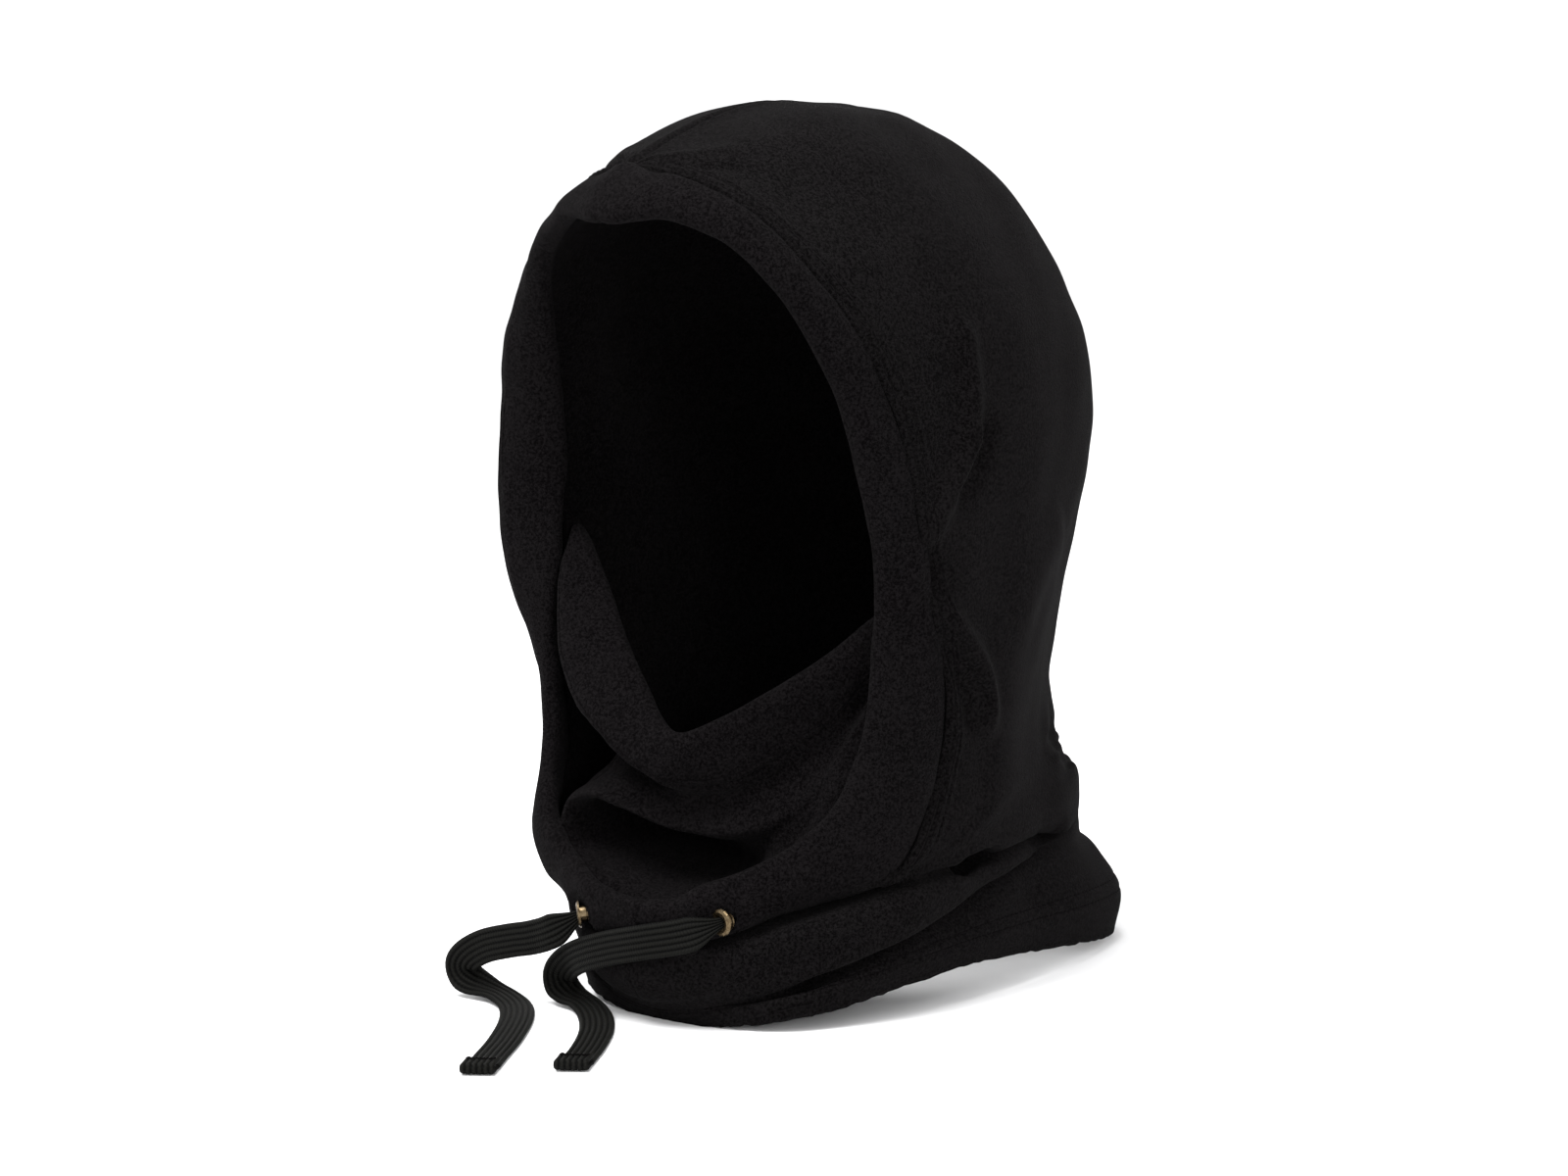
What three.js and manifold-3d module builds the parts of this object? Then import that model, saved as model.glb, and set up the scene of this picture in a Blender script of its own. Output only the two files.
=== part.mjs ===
// A fleece balaclava that stands on its hem: a two-panel hood, a drawcord casing round the
// face opening, a pull-up face mask, two eyelets and a flat braided drawcord.
// Millimetres, +Z up, the wearer looks along -Y and the wearer's left is +X.
import * as THREE from 'three';
import { mergeVertices } from 'three/addons/utils/BufferGeometryUtils.js';
import ManifoldModule from 'manifold-3d';

const wasm = await ManifoldModule();
wasm.setup();

// Driving dimensions
const FLEECE = 3;                 // thickness of the fleece
const GAP = 0.4;                  // clearance between pieces that touch
const TRIM_CLEARANCE = 0.42;      // between the casing and the hood edge that is cut to it
const ORIGIN_SHIFT = [2.09, -4.72, 0]; // puts the middle of the box, cords aside, on the Z axis

const CASING = { halfThickness: 5, wall: 2, seamGap: 1.2, sides: 12, stations: 26 };
const HIDDEN_CORD = { halfWidth: 3.2, halfThickness: 0.9 };
const EYELET = { station: 32, angle: 129, barrelInner: 2.6, barrelOuter: 3.3, flange: 5.5, thickness: 1.1 };
const THREAD = 0.45;              // radius of a row of topstitching
const CORD_RADIUS = 2;            // plain stand-in for the flat braid
const CORD_WIDTH = 14;            // width of the flat braid
const MASK = { thickness: 4, hingeY: -47, hingeZ: 180 };

// Seam between hood and casing, from under the chin to the crown. Each side is given as
// (distance from the middle, y, z); the right side is pushed further forward by the stuffing.
const SEAM = {
  left: [[0, -116, 34], [20, -111, 36], [36, -103, 40], [50, -87, 47], [65, -66, 52], [75, -53, 57],
    [81, -45, 68], [84, -36, 88], [86, -30, 110], [88, -31, 134], [91, -41, 160], [93, -49, 186],
    [92, -54, 213], [90, -62, 243], [84, -76, 273], [72, -90, 299], [52, -101, 321],
    [29, -107, 331], [0, -110, 336]],
  right: [[0, -116, 34], [20, -113, 34], [37, -109, 36], [53, -102, 42], [70, -97, 49], [80, -90, 59],
    [81, -82, 73], [82, -75, 92], [86, -74, 114], [93, -78, 136], [98, -83, 160], [101, -85, 186],
    [101, -86, 213], [98, -86, 243], [89.5, -89.5, 270], [72.5, -94.5, 296], [47, -99, 317],
    [25, -106, 330], [0, -110, 336]],
};

// Folded inner edge of the casing, the rim of the face opening, bottom to top.
const RIM = {
  left: [[0, -116, 51], [16, -112, 53], [26, -108, 58], [36, -99, 62], [48, -89, 69], [58, -80, 78],
    [67, -72, 91], [72, -66, 108], [74, -61, 127], [75, -59, 150], [76, -59, 169], [76, -61, 192],
    [76, -67, 215], [75, -73, 238], [73, -82, 259], [69, -90, 276], [62, -101, 293],
    [50, -108, 306], [36, -114, 313], [22, -119, 317], [0, -127, 315]],
  right: [[0, -116, 51], [16, -114, 52], [30, -112, 55], [43, -107, 60], [56, -102, 68], [66, -98, 78],
    [73, -92, 91], [76, -87, 108], [78, -83, 127], [79, -79, 150], [79, -76, 169], [78, -73, 192],
    [77, -71, 215], [75, -74, 238], [71, -80, 259], [65, -88, 276], [58, -97, 293],
    [47, -106, 306], [34, -113, 313], [21, -119, 317], [0, -127, 315]],
};

// Neck rows from the hem up to the fold under the casing, front centre to back centre.
const NECK = [
  [[0, -104, 0], [58, -86, 7], [80, -6, 16], [64, 107, 4], [0, 134, 0]],      // hem edge
  [[0, -107, 4], [60, -87, 16], [83, -6, 26], [66, 110, 22], [0, 136, 19]],   // hem stitching
  [[0, -111, 9], [59, -83, 21], [80, -5, 39], [60, 104, 38], [0, 130, 38]],   // lip of the hem flap
  [[0, -117, 13], [64, -80, 29], [82, -4, 46], [56, 97, 46], [0, 121, 46]],   // crease above it
  [[0, -121, 23], [67, -78, 40], [85, -4, 53], [55, 97, 52], [0, 121, 52]],   // soft roll
];

// Hood rows. Each starts at a numbered seam point and runs over front side, side, back corner
// and back centre; the last rows climb over the crown.
const HOOD = [
  { seam: 0, row: [[48, -88, 43], [84, -6, 58], [55, 97, 56], [0, 119, 56]] },
  { seam: 2, row: [[62, -68, 50], [86, -2, 64], [54, 99, 65], [0, 120, 65]] },
  { seam: 4, row: [[80, -38, 62], [86, 4, 72], [54, 97, 76], [0, 117, 76]] },
  { seam: 6, row: [[87, -18, 76], [86, 14, 83], [48, 90, 86], [0, 109, 86]] },
  { seam: 7, row: [[87, -12, 94], [84, 18, 99], [46, 90, 101], [0, 107, 101]] },
  { seam: 8, row: [[87, -8, 116], [84, 22, 120], [46, 88, 122], [0, 105, 122]] },
  { seam: 9, row: [[90, -8, 142], [86, 26, 147], [50, 91, 150], [0, 107, 150]] },
  { seam: 10, row: [[94, -12, 170], [90, 28, 176], [55, 96, 180], [0, 112, 180]] },
  { seam: 11, row: [[96, -18, 198], [92, 28, 205], [60, 100, 210], [0, 117, 210]] },
  { seam: 12, row: [[96, -22, 226], [94, 26, 234], [61, 101, 240], [0, 119, 242]] },
  { seam: 13, row: [[94, -30, 255], [92, 20, 265], [59, 92, 272], [0, 111, 276]] },
  { seam: 14, row: [[88, -42, 283], [84, 8, 295], [53, 76, 303], [0, 94, 309]] },
  { seam: 15, row: [[76, -58, 306], [71, -8, 321.5], [46, 49, 330], [0, 65, 336]] },
  { seam: 16, row: [[54, -76, 325], [54, -36, 340], [38, 8, 350.5], [0, 18, 355.5]] },
  { seam: 17, row: [[29, -94, 336], [28, -70, 346], [20, -48, 354], [0, -44, 356.5]] },
  { seam: 18, row: [[0, -110, 336], [0, -110, 336], [0, -110, 336], [0, -110, 336]] },
];
const FOLLOWS_SEAM = [0.45, 0.1, 0, 0];   // how far each row point follows a pushed-out seam
const NECK_FORWARD = [2, 3, 4, 7, 10];    // how far forward the right neck rows' front side sits

// Free ends of the drawcord, eyelet to tip: they droop across the neck, turn on the ground
// and run forward in an S.
const CORD_ROUTE = {
  left: [[35, -110, 44.5], [27, -118, 40.5], [8, -123, 36], [-11, -122.5, 31], [-29, -119.5, 25],
    [-42, -115, 19], [-50, -111.5, 13], [-51.5, -109.5, 8.5], [-46.5, -109.5, 5.2], [-36.5, -111, 3.4],
    [-23.5, -118.7, 2.2], [-7, -134.5, 2.1], [8, -154, 2.1], [21, -174, 2.1]],
  right: [[-37, -117, 39], [-44, -121, 33], [-55, -121.5, 29], [-66, -123, 26.5], [-78.5, -125, 23],
    [-88, -126, 18], [-92.5, -125.8, 13], [-91.5, -124, 8.6], [-84, -121.5, 5.4], [-72.5, -122, 3.6],
    [-59, -128, 2.3], [-43.5, -143, 2.1], [-25.5, -166.5, 2.1], [-12, -187, 2.1], [-4, -199, 2.1]],
};

const SIDES = { left: 1, right: -1 };

// Colours, roughness and metalness
const fabric = (name, color) => new THREE.MeshStandardMaterial({ name, color, roughness: 0.95, metalness: 0 });
const FLEECE_BLACK = fabric('fleece_black', 0x17171a);
const RIM_BLACK = fabric('fleece_black', 0x1b1b1e);
const MASK_BLACK = fabric('fleece_black', 0x1d1d20);
const BRAID_BLACK = fabric('braid_black', 0x1a1c1a);
const THREAD_BLACK = fabric('thread_black', 0x0e0e10);
const ELASTIC_BLACK = fabric('elastic_black', 0x141414);
const EYELET_METAL = new THREE.MeshStandardMaterial({
  name: 'eyelet_metal', color: 0x8a8174, roughness: 0.35, metalness: 1,
});

const model = new THREE.Group();
model.position.set(...ORIGIN_SHIFT);

function add(name, geometry, material) {
  const mesh = new THREE.Mesh(geometry, material);
  mesh.name = name;
  model.add(mesh);
  return mesh;
}

const vector = ([x, y, z]) => new THREE.Vector3(x, y, z);
const mirrored = (p) => new THREE.Vector3(-p.x, p.y, p.z);
const through = (points) => new THREE.CatmullRomCurve3(points, false, 'catmullrom', 0.5);

// Closed indexed solid from shared vertices.
function solid(vertices, triangles) {
  const geometry = new THREE.BufferGeometry();
  const flat = vertices.flatMap((p) => [p.x, p.y, p.z]);
  geometry.setAttribute('position', new THREE.Float32BufferAttribute(flat, 3));
  geometry.setIndex(triangles.flat());
  return geometry;
}

// Triangles of a quad strip between two index functions, turned round when `flip` is set.
function quad(a, b, c, d, flip) {
  return flip ? [[a, c, b], [a, d, c]] : [[a, b, c], [a, c, d]];
}

// Sheet of cloth as a closed shell: `outer` and `inner` are grids of the same size.
function shell(outer, inner, flip) {
  const rows = outer.length;
  const cols = outer[0].length;
  const vertices = [...outer.flat(), ...inner.flat()];
  const at = (i, j, side) => side * rows * cols + i * cols + j;
  const triangles = [];
  for (let i = 0; i < rows - 1; i += 1) {
    for (let j = 0; j < cols - 1; j += 1) {
      triangles.push(...quad(at(i, j, 0), at(i, j + 1, 0), at(i + 1, j + 1, 0), at(i + 1, j, 0), flip));
      triangles.push(...quad(at(i, j, 1), at(i, j + 1, 1), at(i + 1, j + 1, 1), at(i + 1, j, 1), !flip));
    }
  }
  for (let j = 0; j < cols - 1; j += 1) {
    triangles.push(...quad(at(0, j + 1, 0), at(0, j, 0), at(0, j, 1), at(0, j + 1, 1), flip));
    triangles.push(...quad(at(rows - 1, j, 0), at(rows - 1, j + 1, 0), at(rows - 1, j + 1, 1),
      at(rows - 1, j, 1), flip));
  }
  for (let i = 0; i < rows - 1; i += 1) {
    triangles.push(...quad(at(i, 0, 0), at(i + 1, 0, 0), at(i + 1, 0, 1), at(i, 0, 1), flip));
    triangles.push(...quad(at(i + 1, cols - 1, 0), at(i, cols - 1, 0), at(i, cols - 1, 1),
      at(i + 1, cols - 1, 1), flip));
  }
  return solid(vertices, triangles);
}

// Unit normals of a grid; `turn` is 1 or -1, whichever makes them point out of the cloth.
function gridNormals(grid, turn) {
  const last = (list, k) => Math.min(Math.max(k, 0), list.length - 1);
  return grid.map((row, i) => row.map((p, j) => {
    const along = row[last(row, j + 1)].clone().sub(row[last(row, j - 1)]);
    const up = grid[last(grid, i + 1)][j].clone().sub(grid[last(grid, i - 1)][j]);
    return along.cross(up).normalize().multiplyScalar(turn);
  }));
}

const offsetGrid = (grid, normals, distance) => grid.map(
  (row, i) => row.map((p, j) => p.clone().addScaledVector(normals[i][j], distance)));

// Tube or band of constant section along a list of frames {at, across, out}.
function sweep(frames, section, closed) {
  const n = section.length;
  const vertices = frames.flatMap(({ at, across, out }) => section.map(
    ([u, v]) => at.clone().addScaledVector(across, u).addScaledVector(out, v)));
  const triangles = [];
  const spans = closed ? frames.length : frames.length - 1;
  for (let i = 0; i < spans; i += 1) {
    const next = (i + 1) % frames.length;
    for (let k = 0; k < n; k += 1) {
      const m = (k + 1) % n;
      triangles.push(...quad(i * n + k, i * n + m, next * n + m, next * n + k, false));
    }
  }
  if (!closed) {
    const end = (frames.length - 1) * n;
    for (let k = 1; k < n - 1; k += 1) {
      triangles.push([0, k + 1, k], [end, end + k, end + k + 1]);
    }
  }
  return outward(solid(vertices, triangles));
}

const ellipse = (a, b, sides) => Array.from({ length: sides }, (_, k) => {
  const angle = (2 * Math.PI * k) / sides;
  return [a * Math.cos(angle), b * Math.sin(angle)];
});

// Turns every face round if the solid's signed volume is negative.
function outward(geometry) {
  const index = geometry.index.array;
  const position = geometry.attributes.position;
  const [a, b, c] = [new THREE.Vector3(), new THREE.Vector3(), new THREE.Vector3()];
  let volume = 0;
  for (let k = 0; k < index.length; k += 3) {
    a.fromBufferAttribute(position, index[k]);
    b.fromBufferAttribute(position, index[k + 1]);
    c.fromBufferAttribute(position, index[k + 2]);
    volume += a.dot(b.cross(c));
  }
  if (volume < 0) {
    for (let k = 0; k < index.length; k += 3) [index[k], index[k + 1]] = [index[k + 1], index[k]];
  }
  return geometry;
}

// Conversions for boolean cuts
function toManifold(geometry) {
  const bare = geometry.clone();
  bare.deleteAttribute('normal');
  bare.deleteAttribute('uv');
  const merged = mergeVertices(bare, 1e-4);
  return new wasm.Manifold(new wasm.Mesh({
    numProp: 3,
    vertProperties: new Float32Array(merged.attributes.position.array),
    triVerts: new Uint32Array(merged.index.array),
  }));
}

function fromManifold(body) {
  const mesh = body.getMesh();
  const geometry = new THREE.BufferGeometry();
  geometry.setAttribute('position', new THREE.BufferAttribute(new Float32Array(mesh.vertProperties), 3));
  geometry.setIndex(new THREE.BufferAttribute(new Uint32Array(mesh.triVerts), 1));
  return geometry;
}

// ---- Hood -------------------------------------------------------------------------------

const HEAD_CENTRE = new THREE.Vector3(0, 0, 175);
const ROW_STEPS = 2;       // fine rows between two control rows
const COLUMN_STEPS = 3;    // fine columns between two control columns

// Control net of one side as distances from the middle. Under the chin every row follows the
// push of the seam's corner, so that the rows there stay in order.
const CHIN_CORNER = 3;
function controlNet(side) {
  const neck = NECK.map((row, k) => row.map((p, column) => {
    const forward = side === 'right' && column === 1 ? NECK_FORWARD[k] : 0;
    return vector(p).setY(p[1] - forward);
  }));
  const hood = HOOD.map(({ seam, row }) => {
    const leader = Math.max(seam, CHIN_CORNER);
    const push = vector(SEAM[side][leader]).sub(vector(SEAM.left[leader]));
    const rest = row.map((p, k) => vector(p).addScaledVector(push, FOLLOWS_SEAM[k]));
    return [vector(SEAM[side][seam]), ...rest];
  });
  return [...neck, ...hood];
}

// Fine grid of one panel. Rows are rings cut at the middle, so their ends meet the other side
// squarely; the last row stops just short of the crown point.
function hoodGrid(side) {
  const net = controlNet(side);
  const columns = net[0].map((_, k) => through(net.map((row) => row[k])));
  const rows = [];
  const count = (net.length - 1) * ROW_STEPS;
  const sign = SIDES[side];
  for (let i = 0; i <= count; i += 1) {
    const t = Math.min(i, count - 0.12) / count;
    const [front, a, b, c, back] = columns.map((curve) => curve.getPoint(t));
    const opensAtSeam = i > NECK.length * ROW_STEPS;
    const before = opensAtSeam ? front.clone().multiplyScalar(2).sub(a) : mirrored(a);
    const ring = through([before, front, a, b, c, back, mirrored(c)]);
    const fine = [];
    for (let j = 0; j <= 4 * COLUMN_STEPS; j += 1) {
      const p = ring.getPoint((1 + j / COLUMN_STEPS) / 6);
      p.x = sign * Math.max(p.x, GAP / 2);
      p.z = Math.max(p.z - (i === 0 ? 1 : 0), 0);
      fine.push(p);
    }
    rows.push(fine);
  }
  return rows;
}

const hoods = {};
for (const side of Object.keys(SIDES)) {
  const grid = hoodGrid(side);
  const normals = gridNormals(grid, SIDES[side]);
  const inner = offsetGrid(grid, normals, -FLEECE);
  inner.forEach((row, i) => row.forEach((p, j) => {
    p.x = SIDES[side] * Math.max(SIDES[side] * p.x, GAP / 2);
    p.z = i === 0 ? grid[i][j].z : Math.max(p.z, 0);
  }));
  hoods[side] = { grid, normals, inner };
}

// Overlocked seam allowance under the centre seam, from the nape up over the crown.
function centreSeam() {
  const rows = hoods.left.inner;
  const first = (NECK.length + 4) * ROW_STEPS;
  const frames = [];
  for (let i = first; i < rows.length - 3; i += 1) {
    const at = rows[i][rows[i].length - 1];
    const along = rows[i + 1][rows[i].length - 1].clone().sub(rows[i - 1][rows[i].length - 1]).normalize();
    const across = new THREE.Vector3(1, 0, 0);
    const out = across.clone().cross(along).normalize();
    if (out.dot(at.clone().sub(HEAD_CENTRE)) < 0) out.negate();
    frames.push({ at: new THREE.Vector3(0, at.y, at.z).addScaledVector(out, -2.2), across, out });
  }
  return sweep(frames, [[-4, -0.8], [4, -0.8], [4, 0.8], [-4, 0.8]], false);
}
add('centre_seam_allowance', centreSeam(), THREAD_BLACK);

// Elastic drawn along the inside of the nape.
function napeElastic() {
  const row = (NECK.length + 3) * ROW_STEPS;
  const frames = [];
  const push = (side, j) => {
    const { inner, normals } = hoods[side];
    const out = normals[row][j].clone().setZ(0).normalize();
    const at = inner[row][j].clone().addScaledVector(out, -1.6);
    frames.push({ at, across: new THREE.Vector3(0, 0, 1), out });
  };
  const last = 4 * COLUMN_STEPS;
  for (let j = last - 5; j <= last - 1; j += 1) push('left', j);
  for (let j = last - 1; j >= last - 5; j -= 1) push('right', j);
  return sweep(frames, [[-4, -0.5], [4, -0.5], [4, 0.5], [-4, 0.5]], false);
}
add('nape_elastic', napeElastic(), ELASTIC_BLACK);

// ---- Casing round the face opening ---------------------------------------------------------

// Stations round the opening, up the left side and down the right side. Each station holds the
// seam point, the rim point, and a frame across and out of the casing.
function casingStations() {
  const half = (side) => {
    const sign = SIDES[side];
    const place = (list) => through(list.map(vector)).getSpacedPoints(CASING.stations)
      .map((p) => new THREE.Vector3(sign * p.x, p.y, p.z));
    const seam = place(SEAM[side]);
    const rim = place(RIM[side]);
    return seam.map((p, k) => ({ seam: p, rim: rim[k] }));
  };
  const left = half('left');
  const right = half('right').reverse().slice(1, -1);
  const loop = [...left, ...right];
  return loop.map(({ seam, rim }, k) => {
    const previous = loop[(k + loop.length - 1) % loop.length];
    const next = loop[(k + 1) % loop.length];
    const along = next.seam.clone().add(next.rim).sub(previous.seam).sub(previous.rim).normalize();
    const across = rim.clone().sub(seam);
    const width = across.length();
    across.normalize();
    const out = across.clone().cross(along).normalize();
    const middle = seam.clone().lerp(rim, 0.5);
    if (out.dot(middle.clone().sub(HEAD_CENTRE)) < 0) out.negate();
    return { seam, rim, across, out, width, middle };
  });
}
const stations = casingStations();

// Point on the casing's section: `u` from -1 at the seam to 1 at the rim, `v` -1 inside, 1 outside.
function casingPoint(station, u, v, inset = 0) {
  const half = (station.width - CASING.seamGap) / 2;
  const middle = station.rim.clone().addScaledVector(station.across, -half);
  return middle.addScaledVector(station.across, u * (half - inset))
    .addScaledVector(station.out, v * (CASING.halfThickness - inset));
}

function casingTube(inset) {
  const n = CASING.sides;
  const ring = ellipse(1, 1, n);
  const vertices = stations.flatMap((s) => ring.map(([u, v]) => casingPoint(s, u, v, inset)));
  const triangles = [];
  for (let i = 0; i < stations.length; i += 1) {
    const next = (i + 1) % stations.length;
    for (let k = 0; k < n; k += 1) {
      const m = (k + 1) % n;
      triangles.push(...quad(i * n + k, i * n + m, next * n + m, next * n + k, false));
    }
  }
  return outward(solid(vertices, triangles));
}

// Eyelet seats: low on the outer face of the casing, where its middle is EYELET.station from
// the centre. Both lean the way the cord pulls them. `index` is the next station up.
const UP = new THREE.Vector3(0, 1, 0);
const EYELET_LEAN = new THREE.Vector3(-0.62, 0, -0.1);
function eyeletSeat(side) {
  const sign = SIDES[side];
  const count = stations.length;
  let index = 0;
  while (stations[index].middle.x * sign < EYELET.station) index = (index + sign + count) % count;
  const above = stations[index];
  const below = stations[(index - sign + count) % count];
  const share = (EYELET.station - sign * below.middle.x) / (sign * (above.middle.x - below.middle.x));
  const angle = THREE.MathUtils.degToRad(EYELET.angle);
  const [a, b] = [below, above].map((s) => casingPoint(s, Math.cos(angle), Math.sin(angle)));
  const out = below.out.clone().lerp(above.out, share).normalize().add(EYELET_LEAN).normalize();
  return { at: a.lerp(b, share), out, index };
}

// Turned piece with its axis along the seat's outward direction.
function turned(profile, seat, steps = 16) {
  const points = profile.map(([r, h]) => new THREE.Vector2(r, h));
  const geometry = new THREE.LatheGeometry(points, steps);
  geometry.applyQuaternion(new THREE.Quaternion().setFromUnitVectors(UP, seat.out));
  geometry.translate(seat.at.x, seat.at.y, seat.at.z);
  geometry.deleteAttribute('normal');
  geometry.deleteAttribute('uv');
  return outward(mergeVertices(geometry, 1e-4));
}
const disc = (radius, low, high) => [[0, low], [radius, low], [radius, high], [0, high]];

const seats = { left: eyeletSeat('left'), right: eyeletSeat('right') };

// Room for an eyelet and its washer: flange, barrel and washer, each a little larger.
const seatCuts = Object.values(seats).flatMap((seat) => [
  disc(EYELET.flange + 0.6, 0, 6),
  disc(EYELET.barrelOuter + 0.6, -3.4, 1),
  disc(EYELET.flange + 0.6, -4.6, -1.7),
].map((profile) => toManifold(turned(profile, seat))));

const foldedTube = toManifold(casingTube(0)).subtract(toManifold(casingTube(CASING.wall)));
add('face_casing', fromManifold(seatCuts.reduce((body, cut) => body.subtract(cut), foldedTube)), RIM_BLACK);

// The hood's front edge is trimmed to the casing that is sewn to it.
const trim = toManifold(casingTube(-TRIM_CLEARANCE));
for (const [side, { grid, inner }] of Object.entries(hoods)) {
  const panel = toManifold(outward(shell(grid, inner, side === 'right'))).subtract(trim);
  add(`hood_panel_${side}`, fromManifold(panel), FLEECE_BLACK);
}

for (const [side, seat] of Object.entries(seats)) {
  const { barrelInner, barrelOuter, flange, thickness } = EYELET;
  add(`eyelet_${side}`, turned([[barrelInner, -2.2], [barrelOuter, -2.2], [barrelOuter, GAP],
    [flange, GAP], [flange - 0.3, thickness], [4.2, thickness + 0.5], [barrelInner, thickness],
    [barrelInner, -2.2]], seat), EYELET_METAL);
  add(`eyelet_washer_${side}`, turned([[barrelInner, -3.1], [flange - 1.7, -3.1], [flange - 1.7, -2.4],
    [barrelInner, -2.4], [barrelInner, -3.1]], seat), EYELET_METAL);
}

// The drawcord's hidden run, from beside the left eyelet up over the crown to the right one.
function hiddenCord() {
  const from = seats.left.index + 3;
  const to = seats.right.index - 3;
  const frames = stations.slice(from, to + 1).map((s) => ({
    at: casingPoint(s, 0, 0), across: s.across, out: s.out,
  }));
  return sweep(frames, ellipse(HIDDEN_CORD.halfWidth, HIDDEN_CORD.halfThickness, 8), false);
}
add('drawcord_in_casing', hiddenCord(), BRAID_BLACK);

// Two rows of topstitching on the casing's outer face, beside the hood seam, from one eyelet
// up over the crown to the other.
function casingStitch(u) {
  const v = Math.sqrt(1 - u * u);
  const from = seats.left.index + 2;
  const to = seats.right.index - 2;
  const frames = stations.slice(from, to + 1).map((s) => ({
    at: casingPoint(s, u, v).addScaledVector(s.out, THREAD + GAP), across: s.across, out: s.out,
  }));
  return sweep(frames, ellipse(THREAD, THREAD, 4), false);
}
add('casing_topstitch_outer', casingStitch(-Math.cos(Math.PI / 6)), THREAD_BLACK);
add('casing_topstitch_inner', casingStitch(-0.5), THREAD_BLACK);

// ---- Hem stitching ----------------------------------------------------------------------

// One row of hem stitching: a closed loop that follows grid row `row` of both panels.
function hemStitch(row) {
  const frames = [];
  const push = (side, j) => {
    const { grid, normals } = hoods[side];
    const out = normals[row][j];
    const at = grid[row][j].clone().addScaledVector(out, THREAD + GAP);
    frames.push({ at, across: new THREE.Vector3(0, 0, 1), out: out.clone().setZ(0).normalize() });
  };
  const last = 4 * COLUMN_STEPS;
  for (let j = 0; j <= last; j += 1) push('left', j);
  for (let j = last - 1; j >= 1; j -= 1) push('right', j);
  return sweep(frames, ellipse(THREAD, THREAD, 4), true);
}
add('hem_stitch_lower', hemStitch(ROW_STEPS), THREAD_BLACK);
add('hem_stitch_upper', hemStitch(ROW_STEPS + 1), THREAD_BLACK);

// ---- Face mask ----------------------------------------------------------------------------

// Rows of the mask, right cheek to left cheek: its taut top edge, the lower edge of the rolled
// band, the slack below it and the foot tucked behind the casing.
const MASK_ROWS = {
  top: [[-71, -67, 182], [-60, -69, 166], [-42, -78, 146], [-24, -86, 130], [-8, -93, 116], [4, -93, 112],
    [20, -83, 119], [36, -71, 130], [52, -58, 143], [66, -48, 157], [72.5, -45, 164]],
  hem: [[-69.5, -76, 162], [-63, -86, 140], [-51, -93, 124], [-33, -99, 111], [-17, -98, 99], [-3, -93, 92],
    [16, -79, 94], [32, -67, 104], [48, -55, 117], [61, -47, 136], [69, -43, 148]],
  slack: [[-68, -74, 140], [-66, -82, 114], [-60, -89, 94], [-46, -94, 84], [-28, -96, 76], [-8, -94, 72],
    [12, -86, 70], [30, -75, 76], [46, -63, 90], [58, -53, 114], [67, -45, 136]],
  foot: [[-66, -70, 118], [-65, -76, 92], [-58, -82, 70], [-44, -90, 54], [-26, -96, 46], [-6, -99, 43],
    [14, -96, 43], [30, -87, 48], [44, -74, 62], [56, -60, 88], [65, -48, 116]],
};

function maskGrid(names, steps, start) {
  const columns = 16;
  const rows = names.map((name) => through(MASK_ROWS[name].map(vector)).getPoints(columns));
  const count = (names.length - 1) * steps;
  return Array.from({ length: count + 1 }, (_, i) => Array.from({ length: columns + 1 }, (_, j) => {
    const column = through(rows.map((row) => row[j]));
    return column.getPoint(start + (1 - start) * (i / count));
  }));
}

function maskSheet(grid, thickness) {
  const normals = gridNormals(grid, -1);
  const outer = offsetGrid(grid, normals, thickness / 2);
  return outward(shell(outer, offsetGrid(grid, normals, -thickness / 2), false));
}
const bandGrid = maskGrid(['top', 'hem'], 3, 0);
add('mask_band', maskSheet(bandGrid, MASK.thickness), MASK_BLACK);
const panelGrid = maskGrid(['hem', 'slack', 'foot'], 4, 0.11);
add('mask_panel', maskSheet(panelGrid, FLEECE), MASK_BLACK);

// Stitching of the mask's rolled hem, on its outer face just above the lower edge.
function maskStitch() {
  const normals = gridNormals(bandGrid, -1);
  const row = bandGrid.length - 2;
  const frames = bandGrid[row].slice(1, -1).map((p, k) => {
    const out = normals[row][k + 1];
    const at = p.clone().addScaledVector(out, MASK.thickness / 2 + THREAD + GAP);
    return { at, across: new THREE.Vector3(0, 0, 1), out: new THREE.Vector3(0, -1, 0) };
  });
  return sweep(frames, ellipse(THREAD, THREAD, 4), false);
}
add('mask_hem_stitch', maskStitch(), THREAD_BLACK);

// Bar tacks behind the casing, at the ends of the mask's hinge line.
const TACK_PLACE = { left: [77, MASK.hingeY + 7, MASK.hingeZ - 4], right: [-82, MASK.hingeY - 19, MASK.hingeZ + 7] };
for (const [side, place] of Object.entries(TACK_PLACE)) {
  const tack = new THREE.BoxGeometry(1.6, 4, 7);
  tack.translate(...place);
  add(`mask_bartack_${side}`, tack, THREAD_BLACK);
}

// ---- Free ends of the drawcord --------------------------------------------------------------

const cordSection = new THREE.Shape(
  ellipse(CORD_RADIUS, CORD_RADIUS, 8).map(([x, y]) => new THREE.Vector2(x, y)));

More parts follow.
